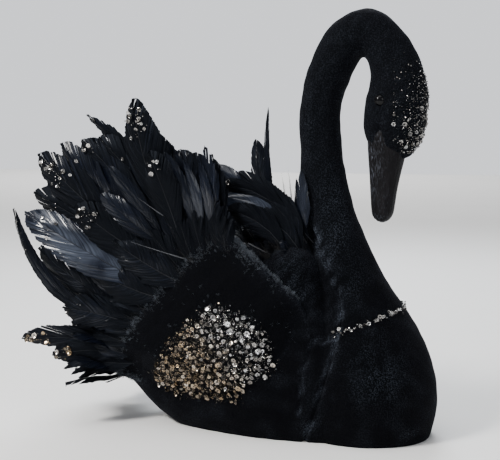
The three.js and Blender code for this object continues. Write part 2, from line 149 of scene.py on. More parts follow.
# The seams of the velvet, seen from the side: x, z.
BREAST_SEAM = [
    (20, -30), (25, 1), (41, 47), (52, 86), (60, 123), (54, 151), (41, 179), (26, 204), (2, 226),
]
SIDE_SEAM = [(34, 103), (29, 87), (23, 73), (24, 52), (20, 30)]
TOP_SEAM = [(31, 106), (42, 101), (56, 107)]

# Right and left: the name and the way out along y.
SIDES = (("right", -1), ("left", 1))
# The map that every small copy gets a patch of: its name, where it starts behind the origin, how
# long and tall it is, and the size of a patch as a share of it.
MAP = "OFBake"
MAP_START, MAP_LONG, MAP_TALL, PATCH = 300, 900, 460, 0.003


# shaping helpers


def smooth_rows(rows, count):
    """Rows of numbers joined by one smooth curve and read at evenly spaced shares."""
    points = np.array(rows, float)
    ends = np.vstack([2 * points[0] - points[1], points, 2 * points[-1] - points[-2]])
    places = np.linspace(0, len(points) - 1, count)
    whole = np.minimum(places.astype(int), len(points) - 2)
    share = (places - whole)[:, None]
    before, here, after, beyond = (ends[whole + step] for step in range(4))
    bend = (2 * before - 5 * here + 4 * after - beyond) * share**2
    twist = (3 * here - before - 3 * after + beyond) * share**3
    return 0.5 * (2 * here + (after - before) * share + bend + twist)


def eased(values, start, end):
    """0 before start, 1 after end, and a smooth rise between them."""
    share = np.clip((values - start) / (end - start), 0, 1)
    return share * share * (3 - 2 * share)


def section(centre, inward, depth, width):
    """The matrix that lays a unit circle as an oval across a form."""
    columns = Matrix((inward * depth, ACROSS * width, inward.cross(ACROSS)))
    return Matrix.Translation(centre) @ columns.transposed().to_4x4()


def loft(sections, sides, square=2.0, ridges=None):
    """A closed form drawn through oval sections, one extruded ring after another."""
    shell = bmesh.new()
    ring = bmesh.ops.create_circle(shell, cap_ends=True, radius=1, segments=sides)["verts"]
    for vertex in ring:
        for axis in (0, 1):
            size = vertex.co[axis]
            vertex.co[axis] = math.copysign(abs(size) ** (2 / square), size)
        if ridges:
            vertex.co *= ridges(math.atan2(vertex.co.y, vertex.co.x))
    bmesh.ops.transform(shell, matrix=sections[0], verts=ring)
    rim = shell.edges[:]
    for before, after in zip(sections, sections[1:]):
        made = bmesh.ops.extrude_edge_only(shell, edges=rim)["geom"]
        ring = [part for part in made if isinstance(part, bmesh.types.BMVert)]
        rim = [part for part in made if isinstance(part, bmesh.types.BMEdge) and part.is_boundary]
        bmesh.ops.transform(shell, matrix=after @ before.inverted(), verts=ring)
    bmesh.ops.edgeloop_fill(shell, edges=rim)
    bmesh.ops.recalc_face_normals(shell, faces=shell.faces)
    return shell


def neck_sections(count):
    """The neck, arch and head: level ovals up to the necklace, then ovals square to the curve."""
    rows = smooth_rows(NECK_STATIONS, count)
    slopes = np.gradient(rows[:, :2], axis=0)
    shares = np.linspace(0, 1, count)
    sections = []
    for (x, z, depth, width), slope, share in zip(rows, slopes, shares):
        along = Vector((slope[0], 0, slope[1])).normalized()
        turned = float(eased(share, NECK_LEVEL_SHARE - 0.12, NECK_LEVEL_SHARE))
        inward = FORWARD.lerp(ACROSS.cross(along), turned).normalized()
        sections.append(section(Vector((x, 0, z)), inward, depth, width))
    return sections


def hull_sections(count):
    """The body from its pointed rear to the breast, in upright ovals."""
    rows = smooth_rows(HULL_STATIONS, count)
    return [
        section(Vector((x, 0, (low + high) / 2)), UP, (high - low) / 2, width)
        for x, low, high, width in rows
    ]


def bill_sections(stations, count):
    """A bill from its root in the face down to its tip."""
    rows = smooth_rows(stations, count)
    return [section(Vector((x, 0, z)), FORWARD, depth, width) for x, z, depth, width in rows]


def as_mesh(form, name="shaped"):
    """A form as mesh data."""
    mesh = bpy.data.meshes.new(name)
    form.to_mesh(mesh)
    form.free()
    return mesh


def worked(form, *modifiers):
    """The form after Blender's modifiers, each given as its type and settings."""
    block = as_mesh(form, "working")
    helper = bpy.data.objects.new("working", block)
    bpy.context.scene.collection.objects.link(helper)
    for kind, settings in modifiers:
        modifier = helper.modifiers.new(kind, kind)
        for key, value in settings.items():
            setattr(modifier, key, value)
    graph = bpy.context.evaluated_depsgraph_get()
    result = bmesh.new()
    result.from_mesh(helper.evaluated_get(graph).to_mesh())
    bpy.data.objects.remove(helper)
    bpy.data.meshes.remove(block)
    return result


def added(whole, mesh):
    """Adds a mesh to a form and drops it."""
    whole.from_mesh(mesh)
    bpy.data.meshes.remove(mesh)


def joined(*forms):
    """Several forms in one."""
    whole = bmesh.new()
    for form in forms:
        added(whole, as_mesh(form, "joining"))
    return whole


def combined(form, other, operation):
    """One form cut by another, or what they share."""
    block = as_mesh(other, "cutter")
    cutter = bpy.data.objects.new("cutter", block)
    bpy.context.scene.collection.objects.link(cutter)
    result = worked(form, ("BOOLEAN", {"operation": operation, "object": cutter, "solver": "EXACT"}))
    bpy.data.objects.remove(cutter)
    bpy.data.meshes.remove(block)
    return result


def smoothed(form, times):
    """The form with its surface relaxed."""
    axes = {"use_axis_x": True, "use_axis_y": True, "use_axis_z": True}
    for _ in range(times):
        bmesh.ops.smooth_vert(form, verts=form.verts, factor=0.5, **axes)
    return form


def closed(form):
    """The form with its open edges filled."""
    rims = [edge for edge in form.edges if edge.is_boundary]
    bmesh.ops.holes_fill(form, edges=rims, sides=0)
    return form


def places_of(mesh):
    """A mesh's points as rows of three numbers."""
    flat = np.empty(len(mesh.vertices) * 3, np.float32)
    mesh.vertices.foreach_get("co", flat)
    return flat.reshape(-1, 3).astype(float)


def normals_of(mesh):
    """The way the surface faces at each point."""
    flat = np.empty(len(mesh.vertices) * 3, np.float32)
    mesh.vertices.foreach_get("normal", flat)
    return flat.reshape(-1, 3).astype(float)


def set_places(mesh, places):
    """Moves a mesh's points."""
    mesh.vertices.foreach_set("co", np.ascontiguousarray(places, np.float32).ravel())
    mesh.update()


def set_values(mesh, name, values):
    """Keeps a number at each point, for the materials to read."""
    layer = mesh.attributes.get(name) or mesh.attributes.new(name, "FLOAT", "POINT")
    layer.data.foreach_set("value", np.ascontiguousarray(values, np.float32))


def distance_to(places, line):
    """How far points are from a line drawn on the side view."""
    flat = places[:, [0, 2]]
    best = np.full(len(flat), 1e9)
    for start, end in zip(line, line[1:]):
        start, end = np.array(start, float), np.array(end, float)
        along = end - start
        share = np.clip((flat - start) @ along / (along @ along), 0, 1)[:, None]
        best = np.minimum(best, np.linalg.norm(flat - start - share * along, axis=1))
    return best


def inside(places, outline):
    """Which points lie within an outline drawn on the side view."""
    x, z = places[:, 0], places[:, 2]
    within = np.zeros(len(places), bool)
    for (ax, az), (bx, bz) in zip(outline, outline[1:] + outline[:1]):
        crosses = (az > z) != (bz > z)
        within ^= crosses & (x < ax + (z - az) * (bx - ax) / ((bz - az) or 1e-9))
    return within


def bell(*ways):
    """1 where all the numbers are 0, fading away as any of them passes 1."""
    return np.exp(-sum(way**2 for way in ways))


def ripple(places, size, seed):
    """Smooth unevenness between about -1 and 1, its waves about this long."""
    chance = np.random.default_rng(seed)
    total = np.zeros(len(places))
    for _ in range(9):
        way = chance.normal(size=3)
        way /= np.linalg.norm(way) * size * chance.uniform(0.6, 1.5) / (2 * np.pi)
        total += np.sin(places @ way + chance.uniform(0, 2 * np.pi))
    return total / 4


def piece(name, mesh, material, replaced=(), smooth=True):
    """Puts a finished mesh, drawn in millimetres, into the frame."""
    set_places(mesh, places_of(mesh) * MM)
    mesh.name = name
    if smooth:
        mesh.shade_smooth()
    mesh.materials.clear()
    mesh.materials.append(material)
    obj = bpy.data.objects.new(name, mesh)
    bpy.context.scene.collection.objects.link(obj)
    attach(obj, "root")
    if replaced:
        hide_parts(*replaced)
    return obj


# many small copies


def lay_map(form, spot):
    """Lays out a small form's own map, from a function of each corner's place."""
    layer = form.loops.layers.uv.new(MAP)
    for face in form.faces:
        for corner in face.loops:
            corner[layer].uv = spot(corner.vert.co)
    return form


def copies(template, count):
    """A mesh of many copies of a small form, one after another."""
    many = {"fit_type": "FIXED_COUNT", "count": count, "use_relative_offset": False}
    return as_mesh(worked(template, ("ARRAY", many)), "copies")


def laid(mesh, origins, axes_x, axes_y, axes_z, sizes):
    """Places every copy in a mesh by its own origin, axes and size."""
    local = places_of(mesh).reshape(len(origins), -1, 3) * sizes.reshape(-1, 1, 1)
    axes = np.stack([axes_x, axes_y, axes_z], axis=1)
    set_places(mesh, (origins[:, None] + local @ axes).reshape(-1, 3))


def bake_patches(mesh, roots, count):
    """Gives every copy a small patch of the piece's map, at its root's place on the skin."""
    layer = mesh.uv_layers[MAP]
    local = np.zeros(len(mesh.loops) * 2, np.float32)
    layer.data.foreach_get("uv", local)
    local = local.reshape(count, -1, 2)
    right = (roots[:, 1] < 0)[:, None]
    across = (roots[:, 0:1] + MAP_START) / MAP_LONG
    upwards = np.clip(roots[:, 2:3] / MAP_TALL + 0.02, 0, 0.99)
    corner = np.hstack([np.where(right, across, 1 - across), upwards])
    layer.data.foreach_set("uv", (corner[:, None] + local * PATCH).astype(np.float32).ravel())
    mesh.update()


def unit(vectors):
    """Vectors cut to length one."""
    return vectors / np.maximum(np.linalg.norm(vectors, axis=-1, keepdims=True), 1e-9)


def square_to(normals, ways):
    """Directions along the surface, from directions that need not be."""
    return unit(ways - normals * np.sum(ways * normals, axis=-1, keepdims=True))


def vane_width(share, blunt):
    """A feather's half width along its quill, 1 at the widest."""
    rise = min(max(share / 0.5, 0.0), 1.0)
    fall = min(max((share - 0.42) / 0.58, 0.0), 1.0)
    return (0.4 + 0.6 * rise * rise * (3 - 2 * rise)) * (1 - fall**blunt) ** 0.6


def barb_sheet(form, wide, steps):
    """A sheet of faces for one barb or a clump of them: its points in rows from root to tip."""
    sheet = bmesh.ops.create_grid(form, x_segments=wide, y_segments=steps, size=0.5)["verts"]
    return sorted(sheet, key=lambda vertex: (round(vertex.co.y, 3), round(vertex.co.x, 3)))


def feather_template(barbs, seed, loose, blunt=3.2, lean=0.40, leading=0.88, steps=4):
    """A feather along +X, one long: a quill and two vanes of barbs hooked together in clumps."""
    chance = np.random.default_rng(seed)
    feather = bmesh.new()
    layers = feather.verts.layers.float
    rachis, edge, barb = (layers.new(name) for name in ("rachis", "edge", "barb"))
    pitch = 0.93 / barbs
    for side, reach in ((1, 1.0), (-1, leading)):
        first = 0
        while first < barbs:
            wide = min(int(chance.integers(4, 15)), barbs - first)
            shift, slant, lift, twist = chance.normal(size=4) * loose * (0.012, 0.05, 0.09, 0.12)
            ragged = chance.normal(size=wide + 1) * (0.02 + 0.03 * loose)
            for place, vertex in enumerate(barb_sheet(feather, wide, steps)):
                row, column = divmod(place, wide + 1)
                share, across = row / steps, column / wide - 0.5
                root = 0.055 + pitch * (first + column + across * 1.2)
                end = min(root + lean * math.sqrt(max(1.02 - root, 0)) + shift, 0.998)
                long = max(vane_width(end, blunt), 0.045) * reach * (1 + slant + ragged[column])
                long *= 1 - 0.2 * loose * (2 * across) ** 8
                gap = across * wide * pitch * 0.3 * loose
                x = root + (end - root) * share**1.25 - gap * share**3
                arch = 0.08 * math.sin(math.pi * share) - 0.22 * share * share
                z = arch + (lift + twist * across) * share * share
                vertex.co = (x, side * long * share**0.9, z)
                vertex[edge] = share
                vertex[rachis] = 0.0
                vertex[barb] = root + 2 * (side > 0)
            first += wide
    feather.normal_update()
    bmesh.ops.reverse_faces(feather, faces=[face for face in feather.faces if face.normal.z < 0])
    return with_quill(feather, 0.028, 0.25)


def with_quill(feather, thick, pale):
    """Adds the tapering quill to a feather and lays out its map."""
    turn = Matrix.Rotation(math.pi / 2, 4, "Y")
    rings = []
    for share, size in ((0, 1), (0.12, 0.95), (0.35, 0.75), (0.6, 0.5), (0.8, 0.33), (0.985, 0.14)):
        girth = Matrix.Diagonal((size * thick, size * thick, 1, 1))
        rings.append(Matrix.Translation((share, 0, 0.02)) @ turn @ girth)
    plain = len(feather.verts)
    added(feather, as_mesh(loft(rings, 5), "quill"))
    feather.verts.ensure_lookup_table()
    rachis = feather.verts.layers.float["rachis"]
    for vertex in feather.verts[plain:]:
        vertex[rachis] = pale
    return lay_map(feather, lambda place: (place.x, 0.5 + place.y / 2))


def quill_template():
    """A bare quill along +X, one long."""
    bare = bmesh.new()
    bare.verts.layers.float.new("rachis")
    return with_quill(bare, 0.7, 1.0)


def down_template(barbs, seed, spread=0.55, thick=0.022, steps=5):
    """A tuft of down, one long: thin curled barbs that spread from the root."""
    chance = np.random.default_rng(seed)
    tuft = bmesh.new()
    rachis, edge = (tuft.verts.layers.float.new(name) for name in ("rachis", "edge"))
    for _ in range(barbs):
        way = unit(np.array([1.0, chance.normal() * spread, chance.normal() * spread * 0.7]))
        bend = chance.normal(size=3) * spread * 0.4
        start = np.array([chance.uniform(0, 0.35), 0, 0])
        long = chance.uniform(0.35, 0.8) + 0.2 * (spread < 0.3)
        turn = unit(np.cross(way, chance.normal(size=3)))
        for place, vertex in enumerate(barb_sheet(tuft, 1, steps)):
            share = (place // 2) / steps
            half = (place % 2 - 0.5) * thick * (1 - 0.8 * share)
            vertex.co = Vector(start + way * long * share + bend * share * share + turn * half)
            vertex[edge] = share
            vertex[rachis] = 0.0
    return lay_map(tuft, lambda place: (place.x, 0.5 + place.y / 2))


def variants(template, barbs, seeds, *shape):
    """Makers of a template's variants, one for each seed."""
    return [lambda seed=seed: template(barbs, seed, *shape) for seed in seeds]


class Feather:
    """One feather: its root, the point its curve leans to, its tip, and how it faces.

    Bulge bends it sideways and curl out of its plane, as shares of its length, and roll twists its
    tip. Kind names its template, and tone is how glossy it is.
    """

    def __init__(self, root, tip, face, width, bulge, curl, roll, kind, tone):
        self.root = np.array(root, float)
        self.tip = np.array(tip, float)
        self.face = np.array(face, float)
        self.width = width
        self.roll = roll
        self.kind = kind
        self.tone = tone
        along = self.tip - self.root
        side = np.cross(along, self.face)
        side = side / (np.linalg.norm(side) or 1.0)
        flat = np.cross(side, along / (np.linalg.norm(along) or 1.0))
        long = np.linalg.norm(along)
        self.handle = self.root + along * 0.5 + (side * bulge * 2 + flat * curl * 2) * long

    def at(self, share, aside, proud):
        """A point on the feather and its outward direction."""
        spine = (1 - share) ** 2 * self.root + 2 * share * (1 - share) * self.handle + share**2 * self.tip
        along = unit(2 * (1 - share) * (self.handle - self.root) + 2 * share * (self.tip - self.handle))
        side = unit(np.cross(along, self.face))
        flat = np.cross(side, along)
        crown = 0.08 * math.sin(math.pi * abs(aside)) - 0.22 * aside * aside
        return spine + (side * aside + flat * crown) * self.width / 2 + flat * proud, flat


def plumage(name, feathers, templates, material, seed, replaced=()):
    """One piece of many feathers, each a copy of its kind's template bent along its own curve."""
    chance = np.random.default_rng(seed)
    whole = bmesh.new()
    for kind, makers in templates.items():
        chosen = [feather for feather in feathers if feather.kind == kind]
        for variant, maker in enumerate(makers):
            group = chosen[variant :: len(makers)]
            count = len(group)
            if not count:
                continue
            root, handle, tip, face = (
                np.array([getattr(feather, part) for feather in group])[:, None]
                for part in ("root", "handle", "tip", "face")
            )
            width, roll, tone = (
                np.array([getattr(feather, part) for feather in group])[:, None, None]
                for part in ("width", "roll", "tone")
            )
            mesh = copies(maker(), count)
            local = places_of(mesh).reshape(count, -1, 3)
            share, aside, proud = local[..., 0:1], local[..., 1:2], local[..., 2:3]
            spine = (1 - share) ** 2 * root + 2 * share * (1 - share) * handle + share**2 * tip
            along = unit((1 - share) * (handle - root) + share * (tip - handle))
            side = unit(np.cross(along, face))
            flat = np.cross(side, along)
            sine, cosine = np.sin(roll * share), np.cos(roll * share)
            side, flat = side * cosine + flat * sine, flat * cosine - side * sine
            phase = chance.uniform(0, 6.28, (count, 1, 1))
            wave = 0.10 * np.sin(7 * share + phase) * np.abs(aside)
            wave += 0.05 * np.sin(19 * share + 2 * phase) * aside**2
            places = spine + width / 2 * (aside * side + (proud + wave) * flat)
            set_places(mesh, places.reshape(-1, 3))
            mesh.flip_normals()
            bake_patches(mesh, root[:, 0], count)
            set_values(mesh, "tone", np.repeat(tone.ravel(), local.shape[1]))
            added(whole, mesh)
    return piece(name, as_mesh(whole, name), material, replaced)


# finishes


class Reading:
    """A number read across a surface; arithmetic on it adds the Math nodes."""

    def __init__(self, finish, socket):
        self.finish = finish
        self.socket = socket

    def worked_out(self, operation, *values):
        """The reading that a Math node makes of one or two values."""
        node = self.finish.node("ShaderNodeMath", {"operation": operation}, dict(enumerate(values)))
        return Reading(self.finish, node.outputs[0])

    def __mod__(self, other):
        return self.worked_out("MODULO", self, other)

    def __add__(self, other):
        return self.worked_out("ADD", self, other)

    def __radd__(self, other):
        return self.worked_out("ADD", other, self)

    def __sub__(self, other):
        return self.worked_out("SUBTRACT", self, other)

    def __rsub__(self, other):
        return self.worked_out("SUBTRACT", other, self)

    def __mul__(self, other):
        return self.worked_out("MULTIPLY", self, other)

    def __rmul__(self, other):
        return self.worked_out("MULTIPLY", other, self)

    def __pow__(self, other):
        return self.worked_out("POWER", self, other)

    def clipped(self, low, high):
        """The reading stretched so that low becomes 0 and high becomes 1, and held there."""
        sockets = {"Value": self, "From Min": low, "From Max": high}
        node = self.finish.node("ShaderNodeMapRange", {"clamp": True}, sockets)
        return Reading(self.finish, node.outputs[0])


class Finish:
    """A material and the nodes it is made of."""

    def __init__(self, name):
        self.material = bpy.data.materials.new(name)
        self.material.use_nodes = True
        self.tree = self.material.node_tree
        self.shader = self.tree.nodes["Principled BSDF"]

    def node(self, kind, settings=None, sockets=None):
        """A node of any kind: its settings first, then its sockets' values or links."""
        made = self.tree.nodes.new(kind)
        for key, value in (settings or {}).items():
            setattr(made, key, value)
        for key, value in (sockets or {}).items():
            self.feed(made.inputs[key], value)
        return made

    def feed(self, socket, value):
        """Links a reading or another socket to a socket, or sets its value."""
        if isinstance(value, Reading):
            self.tree.links.new(value.socket, socket)
        elif isinstance(value, bpy.types.NodeSocket):
            self.tree.links.new(value, socket)
        else:
            socket.default_value = value

    def surface(self, **sockets):
        """Sets or links the shader's own sockets, named with _ for each space."""
        for key, value in sockets.items():
            self.feed(self.shader.inputs[key.replace("_", " ")], value)
        return self.material

    def place(self, stretch=(1, 1, 1)):
        """Object coordinates, stretched."""
        source = self.node("ShaderNodeTexCoord").outputs["Object"]
        return self.node("ShaderNodeMapping", None, {"Vector": source, "Scale": stretch}).outputs[0]

    def grain(self, scale, detail=3.0, roughness=0.55, stretch=(1, 1, 1)):
        """Unevenness between 0 and 1, with so many features to the metre."""
        vector = self.place(stretch)
        sockets = {"Vector": vector, "Scale": scale, "Detail": detail, "Roughness": roughness}
        return Reading(self, self.node("ShaderNodeTexNoise", None, sockets).outputs[0])

    def streaks(self, along, detail):
        """Unevenness between 0 and 1 that changes with one reading alone."""
        sockets = {"W": along, "Scale": 1.0, "Detail": detail}
        return Reading(self, self.node("ShaderNodeTexNoise", {"noise_dimensions": "1D"}, sockets).outputs[0])

    def kept(self, name):
        """A number kept at the points of the mesh."""
        return Reading(self, self.node("ShaderNodeAttribute", {"attribute_name": name}).outputs["Fac"])

    def blend(self, share, first, second):
        """A colour between two colours."""
        made = self.node("ShaderNodeMix", {"data_type": "RGBA"})
        self.feed(made.inputs["Factor"], share)
        ends = [socket for socket in made.inputs if socket.type == "RGBA"]
        for socket, colour in zip(ends, (first, second)):
            linked = isinstance(colour, bpy.types.NodeSocket)
            self.feed(socket, colour if linked else (*tuple(colour)[:3], 1))
        return next(socket for socket in made.outputs if socket.type == "RGBA")

    def relief(self, height, distance, strength):
        """Bumps of the given height in metres."""
        sockets = {"Height": height, "Distance": distance, "Strength": strength}
        return self.node("ShaderNodeBump", None, sockets).outputs[0]


def velvet_finish(colours):
    """Near-black velvet with painted sheen: its nap painted pale in glinting specks along seams, edges and
    listed patches, where light would catch it.
    """
    finish = Finish("swan_velvet")
    pile = finish.grain(520, 3, 0.7)
    # Painted glints: fine specks where the nap would catch the light; the same specks also feed the bump.
    glint_specks = finish.grain(820, 3, 0.7).clipped(0.50, 0.70)
    nap = finish.kept("nap")
    # Painted sheen: the nap colour mixed into the base colour along seams and edges, in patches and faintly
    # everywhere.
    painted_nap_sheen = nap * (0.13 + glint_specks * 1.3) + finish.kept("rubbed") * glint_specks * 0.44 + glint_specks * 0.012
    colour = finish.blend(painted_nap_sheen.clipped(0.0, 1.0), colours.velvet, colours.nap)
    height = pile * 0.5 + glint_specks * 0.5
    return finish.surface(
        Base_Color=colour,
        Roughness=0.92,
        Specular_IOR_Level=0.06,
        Sheen_Weight=0.026,
        Sheen_Roughness=0.32,
        Sheen_Tint=(0.56, 0.64, 0.92, 1),
        Normal=finish.relief(height, 0.0009, 0.8),
    )


def fibre_finish(colours):
    """Loose velvet fibres, dark at the root, with a painted highlight paling them towards the tip."""
    finish = Finish("swan_fibre")
    tip = finish.kept("edge")
    # Painted highlight: each tuft's tip painted pale, as strongly as its tone says.
    colour = finish.blend(tip * finish.kept("tone"), colours.velvet, colours.painted_tip_highlight)
    return finish.surface(
        Base_Color=colour,
        Roughness=0.8,
        Specular_IOR_Level=0.2,
        Sheen_Weight=0.2,
        Sheen_Roughness=0.4,
        Sheen_Tint=(0.66, 0.72, 0.82, 1),
    )


def feather_finish(colours):
    """Dyed black barbs in silky streaks and a paler quill, with a painted blue sheen on the glossier feathers
    and painted pale highlights on the glossiest, beside their real coat gloss.
    """
    finish = Finish("swan_feather")
    tone = finish.kept("tone")
    rachis = finish.kept("rachis")
    along = finish.kept("barb") * 40 + tone * 61
    streak = finish.streaks(along, 4.0)
    cloud = finish.grain(24, 3, 0.5)
    away = (finish.kept("barb") % 2.0 - 0.5) * 2.0
    middle = (1.0 - away * away).clipped(0.0, 0.8)
    # Painted sheen: where a feather shines its base colour turns blue; the same reading raises its real coat
    # gloss.
    shine = tone * 1.25 + (streak - 0.5) * 2.2 + (cloud - 0.5) * 1.4 - 0.62 + middle * 0.2
    shine = shine.clipped(0.0, 1.0)
    vane = finish.blend(shine, colours.feather, colours.gloss)
    # Painted highlight: pale streaks on the glossiest feathers, mid-vane, where their gloss would glare.
    painted_highlight = ((tone - 0.8) * 6.0).clipped(0.0, 1.0) * cloud.clipped(0.42, 0.60) * middle
    vane = finish.blend(painted_highlight * (0.15 + streak.clipped(0.3, 0.8) * 0.6), vane, colours.painted_highlight)
    vane = finish.blend((finish.kept("edge") * streak).clipped(0.4, 0.8) * 0.3, vane, colours.dust)
    colour = finish.blend(rachis, vane, colours.quill)
    return finish.surface(
        Base_Color=colour,
        Roughness=0.50 - shine * 0.16,
        Specular_IOR_Level=0.07,
        Specular_Tint=(0.60, 0.74, 1.0, 1),
        Coat_Weight=shine**1.4 * middle,
        Coat_Roughness=0.15,
        Normal=finish.relief(streak, 0.0014, 0.6),
    )


def down_finish(colours):
    """Soft grey-brown down under the glossy feathers."""
    finish = Finish("swan_down")
    cloud = finish.grain(60, 3, 0.6)
    pale = (cloud + finish.kept("tone") * 0.4 - 0.2).clipped(0.2, 0.8)
    return finish.surface(
        Base_Color=finish.blend(pale, colours.down_dark, colours.down),
        Roughness=0.75,
        Specular_IOR_Level=0.15,
        Sheen_Weight=0.05,
        Sheen_Roughness=0.5,
    )


def sequin_finish(colours):
    """Metallised discs, silver or champagne, many painted dark as if mirroring dark surroundings."""
    finish = Finish("swan_sequin")
    cloud = finish.grain(350, 2, 0.5)
    colour = finish.blend(finish.kept("tone"), colours.silver, colours.champagne)
    # Painted dark reflections: discs darkened at random, most nearly to black.
    colour = finish.blend(finish.kept("dark_reflection") * 0.96, colour, (0.045, 0.042, 0.038))
    return finish.surface(
        Base_Color=colour,
        Metallic=1.0,
        Roughness=0.14 + cloud * 0.20,
        Normal=finish.relief(finish.grain(900, 2), 0.00012, 0.5),
    )


def bill_finish(colours):
    """A dark half-gloss casting with faint ridges along it and pale specks at the rear."""
    finish = Finish("swan_bill")
    streak = finish.grain(150, 4, 0.6, (3, 3, 0.22))
    scuff = finish.grain(60, 4, 0.6)
    pore = finish.grain(1500, 2)
    parted = finish.node("ShaderNodeSeparateXYZ", None, {"Vector": finish.place()})
    rear = Reading(finish, parted.outputs["X"]).clipped(0.099, 0.084)
    rubbed = scuff.clipped(0.40, 0.58) * (0.3 + 1.2 * rear)
    dust = finish.grain(640, 2, 0.6, (1.6, 1.6, 0.35)).clipped(0.52, 0.68) * rubbed
    colour = finish.blend(streak.clipped(0.35, 0.75) * 0.8, colours.bill, colours.bill_worn)
    colour = finish.blend(dust * 0.42, colour, colours.bill_dust)
    return finish.surface(
        Base_Color=colour,
        Roughness=0.34 + scuff * 0.22,
        Specular_IOR_Level=0.05,
        Normal=finish.relief(streak * 0.7 + pore * 0.3, 0.0013, 0.8),
    )


def eye_finish(colours):
    """A dark glass bead."""
    finish = Finish("swan_eye")
    cloud = finish.grain(420, 2)
    colour = finish.blend(cloud.clipped(0.3, 0.8), colours.eye, (0.004, 0.004, 0.005))
    return finish.surface(Base_Color=colour, Roughness=0.04, Specular_IOR_Level=0.16)


def floor_finish(colours):
    """A plain pale floor."""
    finish = Finish("pale_floor")
    cloud = finish.grain(3, 3)
    colour = finish.blend(cloud, colours.floor, tuple(part * 0.96 for part in colours.floor))
    return finish.surface(Base_Color=colour, Roughness=0.6, Specular_IOR_Level=0.3)


# sizes and colours a user would change


def length(name, description, default):
    """A size in metres."""
    return bpy.props.FloatProperty(
        name=name, description=description, default=default, min=0.0, unit="LENGTH", precision=5
    )


def shade(name, description, default):
    """A colour."""
    return bpy.props.FloatVectorProperty(
        name=name, description=description, default=default, size=3, min=0.0, max=1.0, subtype="COLOR"
    )


class SwanSizes(bpy.types.PropertyGroup):
    """Sizes of the finishing pieces"""

    skin_cell: length("Skin cell", "Size of the faces that the velvet skin is made of", 0.0015)
    seam_depth: length("Seam depth", "How far the stitched seams pull the velvet in", 0.0019)
    pad_sink: length("Pad sink", "How far a wing pad's lower edge sinks into the body", 0.0012)
    sequin_width: length("Sequin width", "Diameter of the largest sequins", 0.0058)
    nap_length: length("Nap length", "Length of the loose fibres on the wing edges", 0.0029)
    bill_ridges: bpy.props.IntProperty(
        name="Bill ridges", description="Ridges round the bill", default=23, min=0
    )


class SwanColours(bpy.types.PropertyGroup):
    """Colours of the ornament's finishes"""

    velvet: shade("Velvet", "Velvet seen into the pile", (0.0008, 0.0010, 0.0018))
    # Painted sheen: the pale colour painted where light would catch the turned nap.
    nap: shade("Nap", "Velvet seen on the turned nap", (0.080, 0.095, 0.125))
    # Painted highlight: the pale colour painted on the tips of the loose fibres.
    painted_tip_highlight: shade("Nap tips", "Tips of the loose fibres", (0.19, 0.22, 0.265))
    feather: shade("Feather", "Barbs in shade", (0.0022, 0.0024, 0.0031))
    # Painted sheen: the blue that glossy barbs take in their base colour, for the blue of their reflections.
    gloss: shade("Feather gloss", "Barbs where the dye shows blue", (0.0040, 0.0062, 0.0145))
    # Painted highlight: the pale colour painted on the glossiest feathers.
    painted_highlight: shade("Feather silk", "Palest barbs of the glossiest feathers", (0.075, 0.090, 0.120))
    dust: shade("Feather dust", "Frayed barb ends", (0.007, 0.0075, 0.009))
    quill: shade("Quill", "Pale quills", (0.075, 0.078, 0.085))
    down: shade("Down", "Ends of the down", (0.026, 0.025, 0.025))
    down_dark: shade("Down shade", "Down near the skin", (0.008, 0.008, 0.009))
    silver: shade("Silver", "Silver sequins", (0.86, 0.87, 0.88))
    champagne: shade("Champagne", "Champagne sequins", (0.56, 0.42, 0.26))
    bill: shade("Bill", "Bill", (0.0050, 0.0048, 0.0054))
    bill_worn: shade("Bill ridges", "Ridges on the bill", (0.0120, 0.0112, 0.0125))
    bill_dust: shade("Bill specks", "Pale specks on the bill", (0.095, 0.105, 0.13))
    eye: shade("Eye", "Glass eyes", (0.002, 0.002, 0.0025))
    floor: shade("Floor", "Studio floor", (0.92, 0.915, 0.905))


# pieces of velvet


SHOULDER_EDGE = [(-22, 189), (-14, 195), (-4, 200), (12, 205), (26, 207), (34, 190)]
# The puffed ball of a shoulder: its middle, its reach along each axis and its height.
SHOULDER_BALL = ((14, 43, 178), (38, 18, 24), 14)
# The dimple at the root of the bill and the cheek behind it: place, height, reach.
FACE_FORMS = (((101, 22, 294), 2.4, 6.0), ((88, 20, 306), -3.2, 4.5))
# Patches where the nap is painted pale with glinting sheen, on both sides: x, z, width, height, strength.
SHEEN_PATCHES = [
    (52, 201, 7, 22, 0.8),
    (72, 158, 13, 22, 0.5),
    (97, 74, 24, 32, 0.9),
    (128, 14, 9, 6, 0.7),
    (15, 258, 5, 60, 0.6),
    (43, 236, 10, 30, 0.7),
    (30, 17, 12, 9, 0.8),
    (8, 160, 18, 26, 0.7),
    (-8, 96, 14, 22, 0.3),
]


def puff_skin(places, normals, seams, shoulder, spine, seam_depth):
    """Pulls the seams in, puffs the velvet beside them and settles its foot on the floor."""
    push = 0.55 * ripple(places, 46, 11) + 0.25 * ripple(places, 17, 12)
    push += 0.9 * shoulder * ripple(places * (1.0, 1.0, 0.6), 15, 13)
    middle, reach, height = SHOULDER_BALL
    for turn in (1, -1):
        ball = (places - np.array(middle) * (1, turn, 1)) / np.array(reach)
        push += height * np.exp(-np.sum(ball * ball, axis=1))
    for distance, share in zip(seams, (1.0, 0.7, 0.6)):
        push -= share * seam_depth * bell(distance / 1.5)
        push += share * 0.8 * bell((distance - 7) / 6)
    push -= 0.9 * bell(spine / 1.4)
    for turn in (1, -1):
        eye = np.linalg.norm(places - np.array(EYE) * (1, turn, 1), axis=1)
        push -= 1.4 * bell(eye / EYE_RADIUS)
        for spot, height, reach in FACE_FORMS:
            away = np.linalg.norm((places - np.array(spot) * (1, turn, 1)) * (1, 0.5, 0.8), axis=1)
            push += height * bell(away / reach)
    places += normals * push[:, None]
    tuck = np.clip(1 - places[:, 2] / 6, 0, 1) ** 2 * 1.6
    places[:, :2] -= normals[:, :2] * tuck[:, None]
    places[:, 2] = np.maximum(places[:, 2], 0.2)


